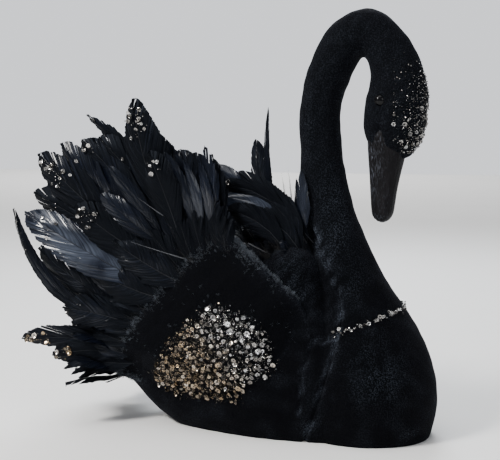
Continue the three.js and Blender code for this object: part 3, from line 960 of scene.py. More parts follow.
def dress_skin(mesh, seam_depth):
    """Shapes the velvet and marks where its nap is painted pale with sheen, along seams and edges and in
    patches.
    """
    places, normals = places_of(mesh), normals_of(mesh)
    x, y, z = places.T
    outer = np.abs(y) > 30
    seam = distance_to(places, BREAST_SEAM)
    side, top = (np.where(outer, distance_to(places, line), 99) for line in (SIDE_SEAM, TOP_SEAM))
    shoulder = bell((x - 14) / 26, (z - 148) / 34) * outer
    outwards = (x - 66) * normals[:, 0] + (z - 320) * normals[:, 2]
    spine = np.abs(y) + 60 * (1 - eased(outwards, 0, 20)) + 60 * (1 - eased(z, 205, 225))
    puff_skin(places, normals, (seam, side, top), shoulder, spine, seam_depth)
    set_places(mesh, places)
    # Clouds that make the painted sheen on the nap stronger here and weaker there.
    sheen_clouds = np.clip(0.5 + 0.85 * ripple(places, 11, 41), 0.04, 1.5)
    edge = np.where(np.abs(y) > 24, distance_to(places, SHOULDER_EDGE), 99)
    neck = eased(z, 150, 215)
    # Painted sheen on the nap: pale along the seams, spine and shoulder edge, over the shoulder, and a little
    # lighter over the whole neck.
    nap = 0.40 * bell((seam - 1.6) / 1.9) + 0.30 * bell((side - 1.4) / 1.6) + 0.34 * bell((top - 1.6) / 1.8)
    nap += 0.3 * bell((spine - 2) / 3) + 0.6 * bell(edge / 5.0)
    nap = (nap + 0.16 * shoulder + 0.10 * bell(seam / 8) + 0.04 * neck) * sheen_clouds
    nap += 0.09 * (1 - 0.6 * neck) * np.clip(ripple(places, 30, 5), 0, 1) + 0.075 * neck
    set_values(mesh, "nap", nap)
    # Painted sheen in the listed patches: the nap painted pale there as if glinting.
    rubbed = np.zeros(len(places))
    for middle, height, wide, tall, strength in SHEEN_PATCHES:
        rubbed += strength * bell((x - middle) / wide, (z - height) / tall) * eased(np.abs(y), 4, 14)
    set_values(mesh, "rubbed", rubbed * np.clip(0.75 + 0.6 * ripple(places, 18, 43), 0.1, 1.4))


def necklace_height(x):
    """How high the necklace's plane lies at a place along the ornament."""
    return NECKLACE["z"] + math.tan(math.radians(NECKLACE["lean"])) * (x - NECKLACE["x"])


class SWAN_OT_skin(bpy.types.Operator):
    """Sews the velvet skin over the body, breast, neck, arch and head"""

    bl_idname = "swan.skin"
    bl_label = "Velvet skin"

    def execute(self, context):
        sizes, colours = context.scene.swan_sizes, context.scene.swan_colours
        hull = loft(hull_sections(72), 64, 2.15)
        neck = loft(neck_sections(170), 56)
        cell = sizes.skin_cell / MM
        whole = worked(joined(hull, neck), ("REMESH", {"mode": "VOXEL", "voxel_size": cell}))
        smoothed(whole, 4)
        everything = whole.verts[:] + whole.edges[:] + whole.faces[:]
        plane = {"plane_co": (0, 0, 0.3), "plane_no": (0, 0, 1)}
        bmesh.ops.bisect_plane(whole, geom=everything, clear_inner=True, **plane)
        mesh = as_mesh(closed(whole))
        dress_skin(mesh, sizes.seam_depth / MM)
        velvet = velvet_finish(colours)
        fronts, heights = zip(*BREAST_SEAM)
        for name, above, nodes in (
            ("swan_neck_velvet", True, ("neck_lower", "neck_middle", "neck_arch", "head")),
            ("swan_body_velvet", False, ("body", "breast")),
        ):
            part = bmesh.new()
            part.from_mesh(mesh)
            spare = []
            for face in part.faces:
                x, _, z = face.calc_center_median()
                ahead = x > np.interp(z, heights, fronts) or z > 214
                if (ahead and z > necklace_height(x)) != above:
                    spare.append(face)
            bmesh.ops.delete(part, geom=spare, context="FACES")
            piece(name, as_mesh(closed(part), name), velvet, nodes)
        bpy.data.meshes.remove(mesh)
        return {"FINISHED"}


def surface_tree(*names):
    """The surfaces of finished pieces, for finding what lies on them."""
    whole = bmesh.new()
    for name in names:
        whole.from_mesh(bpy.data.objects[name].data)
    bmesh.ops.scale(whole, vec=(1 / MM,) * 3, verts=whole.verts)
    tree = BVHTree.FromBMesh(whole)
    whole.free()
    return tree


def struck(tree, start, out):
    """Where a line coming in from outside meets a surface, and the way outwards there."""
    place, way = tree.ray_cast(start, -out)[:2]
    if place is None:
        return None, None
    return place, way if way.dot(out) > 0 else -way


def side_struck(tree, x, z, turn):
    """The same for a place on the side view, coming in from the right or the left."""
    return struck(tree, Vector((x, turn * 200, z)), ACROSS * turn)


def wing_ball(less):
    """The rounded form that a wing pad's outer face lies on, or its inner face when smaller."""
    ball = bmesh.new()
    bmesh.ops.create_uvsphere(ball, u_segments=72, v_segments=48, radius=1)
    for vertex in ball.verts:
        tall = WING_REACH["up"] if vertex.co.z > 0 else WING_REACH["down"]
        vertex.co.x = WING_CENTRE[0] + vertex.co.x * (WING_REACH["x"] - less)
        vertex.co.y *= WING_REACH["y"] - less
        vertex.co.z = WING_CENTRE[1] + vertex.co.z * (tall - less)
    return ball


class SWAN_OT_wing_pads(bpy.types.Operator):
    """Pads and covers the two wings"""

    bl_idname = "swan.wing_pads"
    bl_label = "Wing pads"

    def execute(self, context):
        sizes = context.scene.swan_sizes
        outline = smooth_rows(WING_OUTLINE + WING_OUTLINE[:1], 105)[:-1]
        skin = surface_tree("swan_body_velvet")
        velvet = bpy.data.materials["swan_velvet"]
        for name, turn, node in (
            ("swan_wing_pad_right", -1, "wing_right"),
            ("swan_wing_pad_left", 1, "wing_left"),
        ):
            pad = bmesh.new()
            flat = pad.faces.new([pad.verts.new((x, 30 * turn, z)) for x, z in outline])
            made = bmesh.ops.extrude_face_region(pad, geom=[flat])["geom"]
            moved = [part for part in made if isinstance(part, bmesh.types.BMVert)]
            bmesh.ops.translate(pad, verts=moved, vec=(0, 70 * turn, 0))
            bmesh.ops.recalc_face_normals(pad, faces=pad.faces)
            pad = combined(pad, wing_ball(0), "INTERSECT")
            pad = combined(pad, wing_ball(WING_THICK), "DIFFERENCE")
            pad = worked(pad, ("REMESH", {"mode": "VOXEL", "voxel_size": 1.4}))
            mesh = as_mesh(smoothed(pad, 5))
            places, normals = places_of(mesh), normals_of(mesh)
            foot = distance_to(places, WING_FOOT)
            rim = distance_to(places, np.vstack([outline, outline[:1]]))
            hits = [side_struck(skin, x, z, turn)[0] for x, z in places[:, [0, 2]]]
            level = np.array([hit.y if hit else 0.0 for hit in hits])
            laid_on = (turn * places[:, 1] > 40) & (np.abs(level) > 1)
            sunk = np.where(laid_on, 1 - eased(foot, 3, 48), 0)
            places[:, 1] += sunk * (level - turn * sizes.pad_sink / MM - places[:, 1])
            places += normals * (0.8 * ripple(places, 40, 21) + 0.3 * ripple(places, 14, 22))[:, None]
            set_places(mesh, places)
            # Painted sheen along the pad's rim: the nap painted pale where it would catch the light.
            edge = bell(rim / 3.6) * eased(foot, 4, 20) * (1 - 0.7 * eased(places[:, 0], -84, -58))
            patches = 0.6 + 0.5 * ripple(places, 24, 8)
            set_values(mesh, "nap", np.clip(0.7 * edge * patches, 0, 1) + 0.05 * bell(rim / 12))
            piece(name, mesh, velvet, (node,))
        return {"FINISHED"}


def spots_on(mesh, count, wanted, chance):
    """Random spots on a piece, more where they are wanted, and the ways outwards there."""
    mesh.calc_loop_triangles()
    corners = np.empty(len(mesh.loop_triangles) * 3, np.int32)
    mesh.loop_triangles.foreach_get("vertices", corners)
    corners = corners.reshape(-1, 3)
    places = places_of(mesh) / MM
    edges = places[corners[:, 1:]] - places[corners[:, :1]]
    area = np.linalg.norm(np.cross(edges[:, 0], edges[:, 1]), axis=1)
    odds = area * wanted[corners].mean(axis=1)
    rows = corners[chance.choice(len(corners), count, p=odds / odds.sum())]
    share = chance.dirichlet((1, 1, 1), count)[:, :, None]
    return (places[rows] * share).sum(axis=1), unit((normals_of(mesh)[rows] * share).sum(axis=1))


def fibre_template(blades, seed, steps=3):
    """A tuft of fibres, one long along +Z, that lean together at the tip."""
    chance = np.random.default_rng(seed)
    tuft = bmesh.new()
    edge = tuft.verts.layers.float.new("edge")
    for _ in range(blades):
        foot = chance.normal(size=2) * 0.28
        lean = chance.normal(size=2) * 0.22 - foot * 0.55
        turn = chance.uniform(0, math.pi)
        long = chance.uniform(0.6, 1.1)
        for place, vertex in enumerate(barb_sheet(tuft, 1, steps)):
            share = (place // 2) / steps
            half = (place % 2 - 0.5) * 0.075 * (1 - 0.8 * share)
            x = foot[0] + lean[0] * share * share + math.cos(turn) * half
            y = foot[1] + lean[1] * share * share + math.sin(turn) * half
            vertex.co = (x, y, long * share)
            vertex[edge] = share
    return lay_map(tuft, lambda place: (0.5 + place.x / 3, place.z / 1.2))


def fibres(name, spots, ways, lay, long, finish, chance):
    """One piece of many tufts of loose fibre standing on spots, combed along a direction."""
    count = len(spots)
    mesh = copies(fibre_template(6, 9), count)
    up = unit(ways + lay + chance.normal(size=(count, 3)) * 0.28)
    across = square_to(up, chance.normal(size=(count, 3)))
    laid(mesh, spots - ways * 0.3, across, np.cross(up, across), up, long * chance.uniform(0.55, 1.35, count))
    bake_patches(mesh, spots, count)
    # How strongly each tuft's tip is painted pale as a highlight.
    set_values(mesh, "tone", np.repeat(chance.uniform(0.3, 1, count), len(mesh.vertices) // count))
    return piece(name, mesh, finish, smooth=False)


NAP_REAR = [
    (-162, 44), (-189, 57), (-176, 86), (-158, 108), (-138, 133), (-119, 156), (-98, 178), (-78, 196),
    (-62, 204), (-45, 196),
]
NAP_PEAK = [(-70, 200), (-58, 203), (-40, 193), (-30, 184)]
NAP_TUFTS = 5200


class SWAN_OT_loose_nap(bpy.types.Operator):
    """Raises loose fibres on the rear edges and peaks of the wing pads"""

    bl_idname = "swan.loose_nap"
    bl_label = "Loose nap"

    def execute(self, context):
        sizes = context.scene.swan_sizes
        finish = fibre_finish(context.scene.swan_colours)
        for name, turn in SIDES:
            chance = np.random.default_rng(61 + turn)
            mesh = bpy.data.objects["swan_wing_pad_" + name].data
            places = places_of(mesh) / MM
            wanted = bell(distance_to(places, NAP_REAR) / 7.0)
            wanted += 0.35 * bell(distance_to(places, WING_FRONT) / 3)
            wanted += 0.8 * bell(distance_to(places, NAP_PEAK) / 7)
            wanted *= np.clip(0.55 + 0.6 * ripple(places, 16, 31), 0.05, 2)
            wanted += 0.004
            wanted[turn * places[:, 1] < 24] = 0
            spots, ways = spots_on(mesh, NAP_TUFTS, wanted, chance)
            lay = square_to(ways, np.broadcast_to(np.array([-0.75, 0, 0.55]), ways.shape)) * 0.7
            fibres("swan_nap_" + name, spots, ways, lay, sizes.nap_length / MM, finish, chance)
        return {"FINISHED"}


# sequins


def sequin_template():
    """A cupped disc with a hole in it, one in radius."""
    disc = bmesh.new()
    bmesh.ops.create_circle(disc, cap_ends=False, radius=1, segments=10)
    rim = disc.edges[:]
    size = 1.0
    for less, drop in ((0.62, -0.17), (0.22, 0.02)):
        made = bmesh.ops.extrude_edge_only(disc, edges=rim)["geom"]
        ring = [part for part in made if isinstance(part, bmesh.types.BMVert)]
        rim = [part for part in made if isinstance(part, bmesh.types.BMEdge) and part.is_boundary]
        bmesh.ops.scale(disc, vec=(less / size, less / size, 1), verts=ring)
        bmesh.ops.translate(disc, vec=(0, 0, drop), verts=ring)
        size = less
    bmesh.ops.recalc_face_normals(disc, faces=disc.faces)
    bmesh.ops.solidify(disc, geom=disc.faces[:], thickness=0.07)
    return lay_map(disc, lambda place: (0.5 + place.x / 2.2, 0.5 + place.y / 2.2))


def bead_template():
    """A small round bead, one in radius."""
    bead = bmesh.new()
    bmesh.ops.create_icosphere(bead, subdivisions=1, radius=1, calc_uvs=False)
    return lay_map(bead, lambda place: (0.5 + place.x / 2.2, 0.5 + place.y / 2.2))


def strewn(name, discs, beads, finish, chance, tilt=0.5, replaced=()):
    """One piece of sequins and beads. Each row: place, way outwards, radius and tone."""
    whole = bmesh.new()
    for template, rows in ((sequin_template(), discs), (bead_template(), beads)):
        if not rows:
            template.free()
            continue
        count = len(rows)
        mesh = copies(template, count)
        spots = np.array([row[0] for row in rows])
        ways = unit(np.array([row[1] for row in rows]) + chance.normal(size=(count, 3)) * tilt)
        sizes = np.array([row[2] for row in rows])
        across = square_to(ways, chance.normal(size=(count, 3)))
        laid(mesh, spots, across, np.cross(ways, across), ways, sizes)
        bake_patches(mesh, spots, count)
        each = len(mesh.vertices) // count
        set_values(mesh, "tone", np.repeat([row[3] for row in rows], each))
        # How dark each disc's painted reflection is.
        set_values(mesh, "dark_reflection", np.repeat(chance.uniform(0, 1, count) ** 0.5, each))
        added(whole, mesh)
    return piece(name, as_mesh(whole), finish, replaced, smooth=False)


def kept_apart(spots, gap):
    """The spots that stay when each keeps a gap from those before it."""
    stay = []
    for x, y in spots:
        if all((x - other[0]) ** 2 + (y - other[1]) ** 2 > gap * gap for other in stay):
            stay.append((x, y))
    return stay


def bead_size(chance):
    """A bead's radius, most of them small."""
    return 0.25 + 0.6 * chance.random() ** 2


SEQUIN_PATCH = [
    (-71, 134), (-55, 137), (-32, 130), (-14, 118), (-8, 108), (-3, 94), (-3, 72), (-14, 64), (-32, 56),
    (-39, 36), (-65, 35), (-92, 35), (-114, 38), (-134, 47), (-140, 60), (-127, 72), (-117, 87), (-104, 106),
    (-91, 120), (-80, 124),
]
PATCH_TRIES = 16000
# The least gap between neighbours on the wings.
DISC_GAP, BEAD_GAP = 3.5, 1.15
# Millimetres of skin to a degree round the forehead.
FACE_ARC = 0.45


def wing_sequins(name, turn, largest, finish):
    """The patch on a wing, silver in front and champagne behind."""
    chance = np.random.default_rng(91 + turn)
    tree = surface_tree("swan_wing_pad_" + name, "swan_body_velvet")
    tries = np.zeros((PATCH_TRIES, 3))
    tries[:, 0] = chance.uniform(-144, 4, PATCH_TRIES)
    tries[:, 2] = chance.uniform(32, 142, PATCH_TRIES)
    tries = tries[inside(tries, SEQUIN_PATCH)][:, [0, 2]]
    rim = [*SEQUIN_PATCH, SEQUIN_PATCH[0]]
    quarter = len(tries) // 4
    discs, beads = [], []
    for rows, gap, made in ((tries[:quarter], DISC_GAP, discs), (tries[quarter:], BEAD_GAP, beads)):
        for x, z in kept_apart(rows.tolist(), gap):
            near = distance_to(np.array([[x, 0, z]]), rim)[0]
            if chance.random() > 0.3 + near / 12:
                continue
            x, z = x + chance.normal() * 1.8, z + chance.normal() * 1.8
            place, way = side_struck(tree, x, z, turn)
            if place is None:
                continue
            gold = 1.0 / (1.0 + math.exp((x + 58 + (z - 85) * 0.9) / 16))
            gold = float(np.clip(gold + chance.normal() * 0.22, 0, 1))
            if made is discs:
                size, proud = largest * chance.uniform(0.5, 1.0), chance.uniform(0.5, 1.4)
            else:
                size, proud = bead_size(chance), 0.6
            made.append((np.array(place + way * proud), np.array(way), size, gold))
    strewn("swan_sequins_wing_" + name, discs, beads, finish, chance)


def feather_sequins(largest, finish):
    """Those near the tips of the feathers that carry some."""
    chance = np.random.default_rng(93)
    rows = NEAR_FEATHERS + BACK_FEATHERS
    discs, beads = [], []
    for feather, row in zip(shown_feathers(rows, chance), rows):
        gold = 1.0 if row[5] < 110 else 0.25
        for index in range(row[10] * 3):
            share, aside = chance.uniform(0.74, 0.95), chance.uniform(-0.62, 0.62)
            place, way = feather.at(share, aside * vane_width(share, 1.9), 1.2)
            if index % 3 == 0:
                made, size = discs, largest * chance.uniform(0.55, 0.95)
            else:
                made, size = beads, chance.uniform(0.35, 0.8)
            made.append((place, way, size, gold * chance.uniform(0.3, 1.3)))
    strewn("swan_sequins_feathers", discs, beads, finish, chance)


def forehead_sequins(largest, finish):
    """Those on the forehead, thinning out upwards."""
    chance = np.random.default_rng(97)
    tree = surface_tree("swan_neck_velvet")
    discs, beads = [], []
    for count, gap, high, made in ((170, 4.6, 352, discs), (2200, 1.3, 384, beads)):
        turns = np.clip(chance.normal(size=count) * 34, -82, 82) * FACE_ARC
        tries = np.column_stack([turns, chance.uniform(284, high, count)])
        for turn, z in kept_apart(tries.tolist(), gap):
            turn = math.radians(turn / FACE_ARC)
            out = Vector((math.cos(turn), math.sin(turn), 0))
            place, way = struck(tree, Vector((100, 0, z)) + out * 90, out)
            fade = 1 - float(eased(np.array(z), high - 44, high))
            if place is None or place.x < 92 + 14 * (z < 296) or chance.random() > fade * 0.9:
                continue
            size = largest * chance.uniform(0.6, 0.9) if made is discs else bead_size(chance)
            made.append((np.array(place + way * 0.6), np.array(way), size, chance.uniform(0, 0.35)))
    strewn("swan_sequins_forehead", discs, beads, finish, chance)


class SWAN_OT_sequins(bpy.types.Operator):
    """Glues sequins and beads to the wings, the feather tips and the forehead"""

    bl_idname = "swan.sequins"
    bl_label = "Sequins"

    def execute(self, context):
        finish = sequin_finish(context.scene.swan_colours)
        largest = context.scene.swan_sizes.sequin_width / MM / 2
        for name, turn in SIDES:
            wing_sequins(name, turn, largest, finish)
        feather_sequins(largest, finish)
        forehead_sequins(largest, finish)
        return {"FINISHED"}


class SWAN_OT_necklace(bpy.types.Operator):
    """Strings a row of sequins and beads across the breast"""

    bl_idname = "swan.necklace"
    bl_label = "Necklace"

    def execute(self, context):
        finish = bpy.data.materials["swan_sequin"]
        chance = np.random.default_rng(17)
        tree = surface_tree("swan_neck_velvet", "swan_body_velvet")
        reach, stones = NECKLACE["reach"], NECKLACE["stones"]
        discs, beads = [], []
        for index in range(stones):
            angle = math.radians(-reach + 2 * reach * (index + 0.5) / stones)
            out = Vector((math.cos(angle), math.sin(angle), 0))
            place = Vector((75, 0, NECKLACE["z"]))
            for _ in range(3):
                hit = struck(tree, Vector((74, 0, necklace_height(place.x))) + out * 130, out)
                if hit[0] is not None:
                    place, way = hit
            scatter = Vector((0, 0, chance.normal() * 1.8))
            spot = np.array(place + way * chance.uniform(0.6, 1.5) + scatter)
            if index % 3 == 0:
                discs.append((spot, np.array(way), chance.uniform(1.3, 2.5), chance.uniform(0, 0.3)))
            elif chance.random() < 0.8:
                beads.append((spot, np.array(way), chance.uniform(0.6, 1.0), chance.uniform(0, 0.3)))
        strewn("swan_necklace", discs, beads, finish, chance, 0.45, ("necklace",))
        return {"FINISHED"}


# feathers


# Feathers of the right wing that show on their own: x, y, z of the root, x, y, z of the tip,
# width, bulge to the right of the quill, gloss, kind, sequins near its tip.
NEAR_FEATHERS = [
    (-168, -46, 67, -237, -56, 55, 11, 0.08, 0.4, "slim", 0),
    (-168, -48, 63, -228, -57, 50, 10, 0.08, 0.3, "slim", 0),
    (-168, -50, 59, -219, -58, 47, 10, 0.07, 0.3, "slim", 0),
    (-160, -55, 78, -246, -64, 71, 32, 0.05, 0.15, "vane", 10),
    (-150, -50, 77, -283, -62, 86, 27, 0.06, 0.35, "vane", 9),
    (-146, -60, 106, -229, -72, 124, 38, 0.04, 0.3, "vane", 1),
    (-152, -48, 104, -289, -62, 225, 19, -0.165, 0.5, "slim", 2),
    (-138, -50, 118, -262, -60, 184, 42, -0.06, 0.25, "vane", 0),
    (-126, -58, 145, -270, -72, 223, 46, -0.03, 1.0, "vane", 3),
    (-128, -52, 165, -264, -64, 242, 46, 0.02, 0.12, "vane", 2),
    (-121, -56, 173, -256, -68, 282, 50, -0.02, 0.3, "vane", 14),
    (-115, -52, 177, -232, -64, 293, 42, -0.02, 0.4, "vane", 2),
    (-118, -62, 168, -210, -77, 230, 46, -0.02, 0.12, "vane", 8),
    (-117, -50, 195, -209, -62, 297, 46, 0.03, 0.3, "vane", 2),
    (-103, -46, 197, -192, -58, 299, 46, 0.03, 0.15, "vane", 1),
    (-98, -44, 199, -173, -54, 296, 42, 0.02, 0.1, "vane", 0),
    (-132, -40, 250, -208, -50, 321, 16, 0.04, 0.3, "frayed", 1),
    (-104, -57, 197, -149, -68, 338, 56, -0.05, 0.3, "spade", 12),
    (-89, -50, 198, -137, -60, 306, 38, 0.02, 0.45, "vane", 2),
    (-101, -64, 199, -130, -76, 285, 36, 0.02, 0.05, "vane", 4),
    (-81, -62, 202, -115, -71, 285, 16, 0.04, 0.65, "slim", 0),
    (-78, -61, 202, -95, -69, 277, 12, 0.05, 0.85, "slim", 0),
    (-80, -50, 205, -105, -58, 287, 36, 0.05, 0.6, "vane", 0),
    (-73, -48, 205, -90, -56, 284, 28, 0.05, 0.55, "vane", 0),
    (-66, -57, 200, -76, -63, 290, 19, 0.03, 0.8, "frayed", 0),
    (-60, -55, 200, -70, -60, 282, 19, 0.04, 0.1, "frayed", 1),
    (-69, -61, 202, -81, -66, 277, 13, 0.04, 0.8, "slim", 0),
    (-117, -64, 191, -181, -77, 243, 24, -0.02, 0.6, "vane", 0),
    (-118, -62, 197, -174, -73, 271, 20, 0.02, 0.55, "slim", 0),
    (-91, -64, 150, -170, -75, 196, 44, -0.02, 0.3, "vane", 0),
    (-118, -64, 136, -189, -74, 163, 38, -0.02, 0.3, "vane", 0),
    (-94, -72, 180, -148, -80, 196, 1.6, 0.0, 0.4, "quill", 0),
    (-116, -72, 222, -140, -79, 240, 1.5, 0.0, 0.4, "quill", 0),
]
# The same for those of the back that show between the wing and the neck.
BACK_FEATHERS = [
    (-12, -26, 201, -84, -20, 272, 25, 0.05, 0.75, "vane", 0),
    (27, -31, 195, -53, -26, 265, 28, 0.03, 0.1, "spade", 0),
    (21, -34, 195, -43, -31, 248, 27, 0.10, 0.05, "vane", 0),
    (12, -33, 211, -75, -36, 252, 20, 0.12, 0.06, "vane", 1),
    (11, -36, 196, -68, -42, 239, 26, 0.14, 1.0, "vane", 0),
    (2, -40, 185, -59, -46, 227, 30, 0.12, 0.1, "vane", 0),
    (16, -37, 184, -36, -40, 225, 27, 0.12, 0.2, "vane", 0),
    (16, -36, 184, -18, -36, 237, 24, 0.10, 0.15, "vane", 0),
    (-34, 9, 201, -52, 32, 297, 24, 0.02, 0.4, "vane", 0),
    (-24, 14, 204, -38, 32, 330, 8, -0.03, 0.6, "slim", 0),
    (16, -28, 195, 12, -24, 267, 14, 0.02, 0.85, "slim", 0),
    (11, -28, 195, 6, -20, 258, 9, 0.02, 0.5, "slim", 0),
    (3, -16, 198, -4, -8, 258, 12, 0.02, 0.4, "hair", 0),
    (-5, -8, 205, -13, 0, 255, 11, 0.02, 0.4, "hair", 0),
    (-34, -52, 195, -13, -46, 184, 1.5, 0.0, 0.4, "quill", 0),
]


def shown_feathers(rows, chance):
    """The feathers of a list, the glossier ones tipped up towards the light."""
    made = []
    for row in rows:
        width, bulge, gloss, kind = row[6:10]
        face = (0, -1, 0.05 + 0.5 * max(gloss - 0.4, 0) / 0.6)
        curl, roll = 0.02 + 0.035 * gloss, chance.normal() * 0.12
        made.append(Feather(row[:3], row[3:6], face, width, bulge, curl, roll, kind, gloss))
    return made


def wing_depth(x, z):
    """How far out a wing pad's face lies at a place on the side view."""
    tall = WING_REACH["up"] if z > WING_CENTRE[1] else WING_REACH["down"]
    left = 1 - ((x - WING_CENTRE[0]) / WING_REACH["x"]) ** 2 - ((z - WING_CENTRE[1]) / tall) ** 2
    return WING_REACH["y"] * math.sqrt(max(left, 0.05))


def rim_place(rim, share):
    """A place on a wing's rim."""
    return smooth_rows(rim, 101)[int(round(share * 100))]


def fan(rim, shares, pitches, lengths, turn, shape, chance, tones, kind="vane"):
    """A fan of feathers along a wing's rim, each at its own pitch backwards from upright.

    The shape is the feathers' width, how deep they sit, how far they flare and how they bend.
    """
    width, under, flare, bend = shape
    made = []
    for share, pitch, long in zip(shares, pitches, lengths):
        place = rim_place(rim, share)
        pitch = math.radians(pitch + chance.normal() * 5)
        along = np.array([-math.cos(pitch), 0, math.sin(pitch)])
        depth = wing_depth(*place) - under
        root = np.array([place[0], turn * depth, place[1]]) - along * 10
        tip = root + along * (long + 10)
        tip[1] = turn * (depth + flare + chance.normal() * 2)
        wide, roll, tone = width * chance.uniform(0.85, 1.1), chance.normal() * 0.25, chance.uniform(*tones)
        made.append(Feather(root, tip, (0, turn, 0.12), wide, turn * bend, 0.02, roll, kind, tone))
    return made


# The pitch and length of the left wing's long feathers, at even steps along the rim.
FAN_LEFT = [
    (-10, 54), (4, 88), (18, 104), (30, 136), (39, 148), (46, 158), (52, 150), (58, 112), (66, 80), (75, 56),
    (84, 42),
]


class SWAN_OT_wing_feathers(bpy.types.Operator):
    """Glues the fans of feathers into the rear edges of the wings"""

    bl_idname = "swan.wing_feathers"
    bl_label = "Wing feathers"

    def execute(self, context):
        finish = feather_finish(context.scene.swan_colours)
        templates = {
            "vane": variants(feather_template, 96, (3, 4, 5, 6, 9), 0.45),
            "spade": variants(feather_template, 110, (7, 8), 0.25, 1.6),
            "slim": variants(feather_template, 70, (13, 14), 0.4, 1.7),
            "quill": [quill_template],
            "frayed": variants(feather_template, 72, (23, 24), 1.1, 2.2, 0.5),
        }
        chance = np.random.default_rng(81)
        right = shown_feathers(NEAR_FEATHERS, chance)
        rim = [(-168, 62), *WING_RIM[1:]]
        shares = np.linspace(0.03, 0.98, 15)
        pitches, lengths = np.interp(shares, (0, 1), (2, 92)), np.interp(shares, (0, 0.5, 1), (40, 62, 52))
        right += fan(rim, shares, pitches, lengths, -1, (26, 6, 8, 0.03), chance, (0.0, 0.4), "frayed")
        shares = np.linspace(0.05, 0.9, 12)
        pitches, lengths = np.interp(shares, (0, 1), (6, 84)), np.interp(shares, (0, 0.4, 1), (60, 100, 80))
        right += fan(rim, shares, pitches, lengths, -1, (32, 10, 4, 0.04), chance, (0.1, 0.5))
        plumage("swan_wing_feathers_right", right, templates, finish, 41)
        steps = np.linspace(0, 1, len(FAN_LEFT))
        shares = np.linspace(0, 1, 20)
        pitches, lengths = (np.interp(shares, steps, column) for column in zip(*FAN_LEFT))
        left = fan(WING_RIM, shares, pitches, lengths, 1, (36, 9, 8, 0.06), chance, (0.1, 0.8))
        shares = np.linspace(0.03, 0.97, 16)
        pitches, lengths = np.interp(shares, (0, 1), (0, 88)), np.interp(shares, (0, 0.6, 1), (62, 60, 36))
        left += fan(WING_RIM, shares, pitches, lengths, 1, (30, 5, 9, 0.03), chance, (0.1, 0.9))
        plumage("swan_wing_feathers_left", left, templates, finish, 42)
        return {"FINISHED"}


def back_height(x):
    """The top of the body at a place along it."""
    rows = smooth_rows(HULL_STATIONS, 80)
    return float(np.interp(x, rows[:, 0], rows[:, 2]))


def back_rows(chance):
    """Rows of feathers over the back, flatter and longer towards the tail."""
    made = []
    for row, x in enumerate(np.linspace(4, -140, 13)):
        pitch = math.radians(np.interp(-x, [-4, 140], [82, 22]))
        long = np.interp(-x, [-4, 30, 90, 140], [32, 54, 80, 78])
        for y in (-34, -17, 0, 17, 34):
            y += (row % 2 - 0.5) * 9 + chance.normal() * 2
            splay = y / 34
            tilt = pitch * (1 - 0.25 * abs(splay)) + chance.normal() * 0.08
            along = unit(np.array([-math.cos(tilt), 0.35 * splay, math.sin(tilt)]))
            root = np.array([x + chance.normal() * 2, y, back_height(x) - 6 - 10 * splay * splay])
            face = unit(np.array([math.sin(tilt), 0.5 * splay, math.cos(tilt)]))
            tip = root + along * (long * chance.uniform(0.8, 1.08) * (0.7 if x > -70 and y < 5 else 1))
            kind = "frayed" if chance.random() < 0.3 else "vane"
            width, roll, tone = chance.uniform(22, 30), chance.normal() * 0.4, chance.uniform(0.1, 0.9)
            made.append(Feather(root, tip, face, width, 0.0, 0.06, roll, kind, tone))
    return made


def tail_fan(chance):
    """Three layers of feathers spread over the tail."""
    made = []
    for layer in range(3):
        for place in np.linspace(-1, 1, 7 - layer % 2):
            turn = math.radians(46 * place + chance.normal() * 3)
            lift = math.radians(2 + 11 * layer + chance.normal() * 4)
            level = math.cos(lift)
            along = np.array([-math.cos(turn) * level, math.sin(turn) * level, math.sin(lift)])
            root = np.array([-166, place * 28, 52 + 10 * layer - 6 * place * place])
            tip = root + along * chance.uniform(66, 78)
            roll, tone = chance.normal() * 0.4, chance.uniform(0.1, 0.7)
            made.append(Feather(root, tip, UP, 29, 0.0, 0.04, roll, "vane", tone))
    return made


class SWAN_OT_back_feathers(bpy.types.Operator):
    """Glues rows of feathers over the back, and a fan at the tail"""

    bl_idname = "swan.back_feathers"
    bl_label = "Back and tail feathers"

    def execute(self, context):
        templates = {
            "vane": variants(feather_template, 72, (33, 34, 35), 0.4, 2.8),
            "frayed": variants(feather_template, 64, (43, 44), 1.1, 2.2, 0.5),
            "spade": variants(feather_template, 96, (51,), 0.3, 1.7),
            "hair": variants(down_template, 22, (52,), 0.1, 0.07),
            "slim": variants(feather_template, 60, (53,), 0.4, 1.7),
            "quill": [quill_template],
        }
        chance = np.random.default_rng(57)
        made = back_rows(chance) + tail_fan(chance) + shown_feathers(BACK_FEATHERS, chance)
        finish = bpy.data.materials["swan_feather"]
        plumage("swan_back_feathers", made, templates, finish, 43, ("tail",))
        return {"FINISHED"}


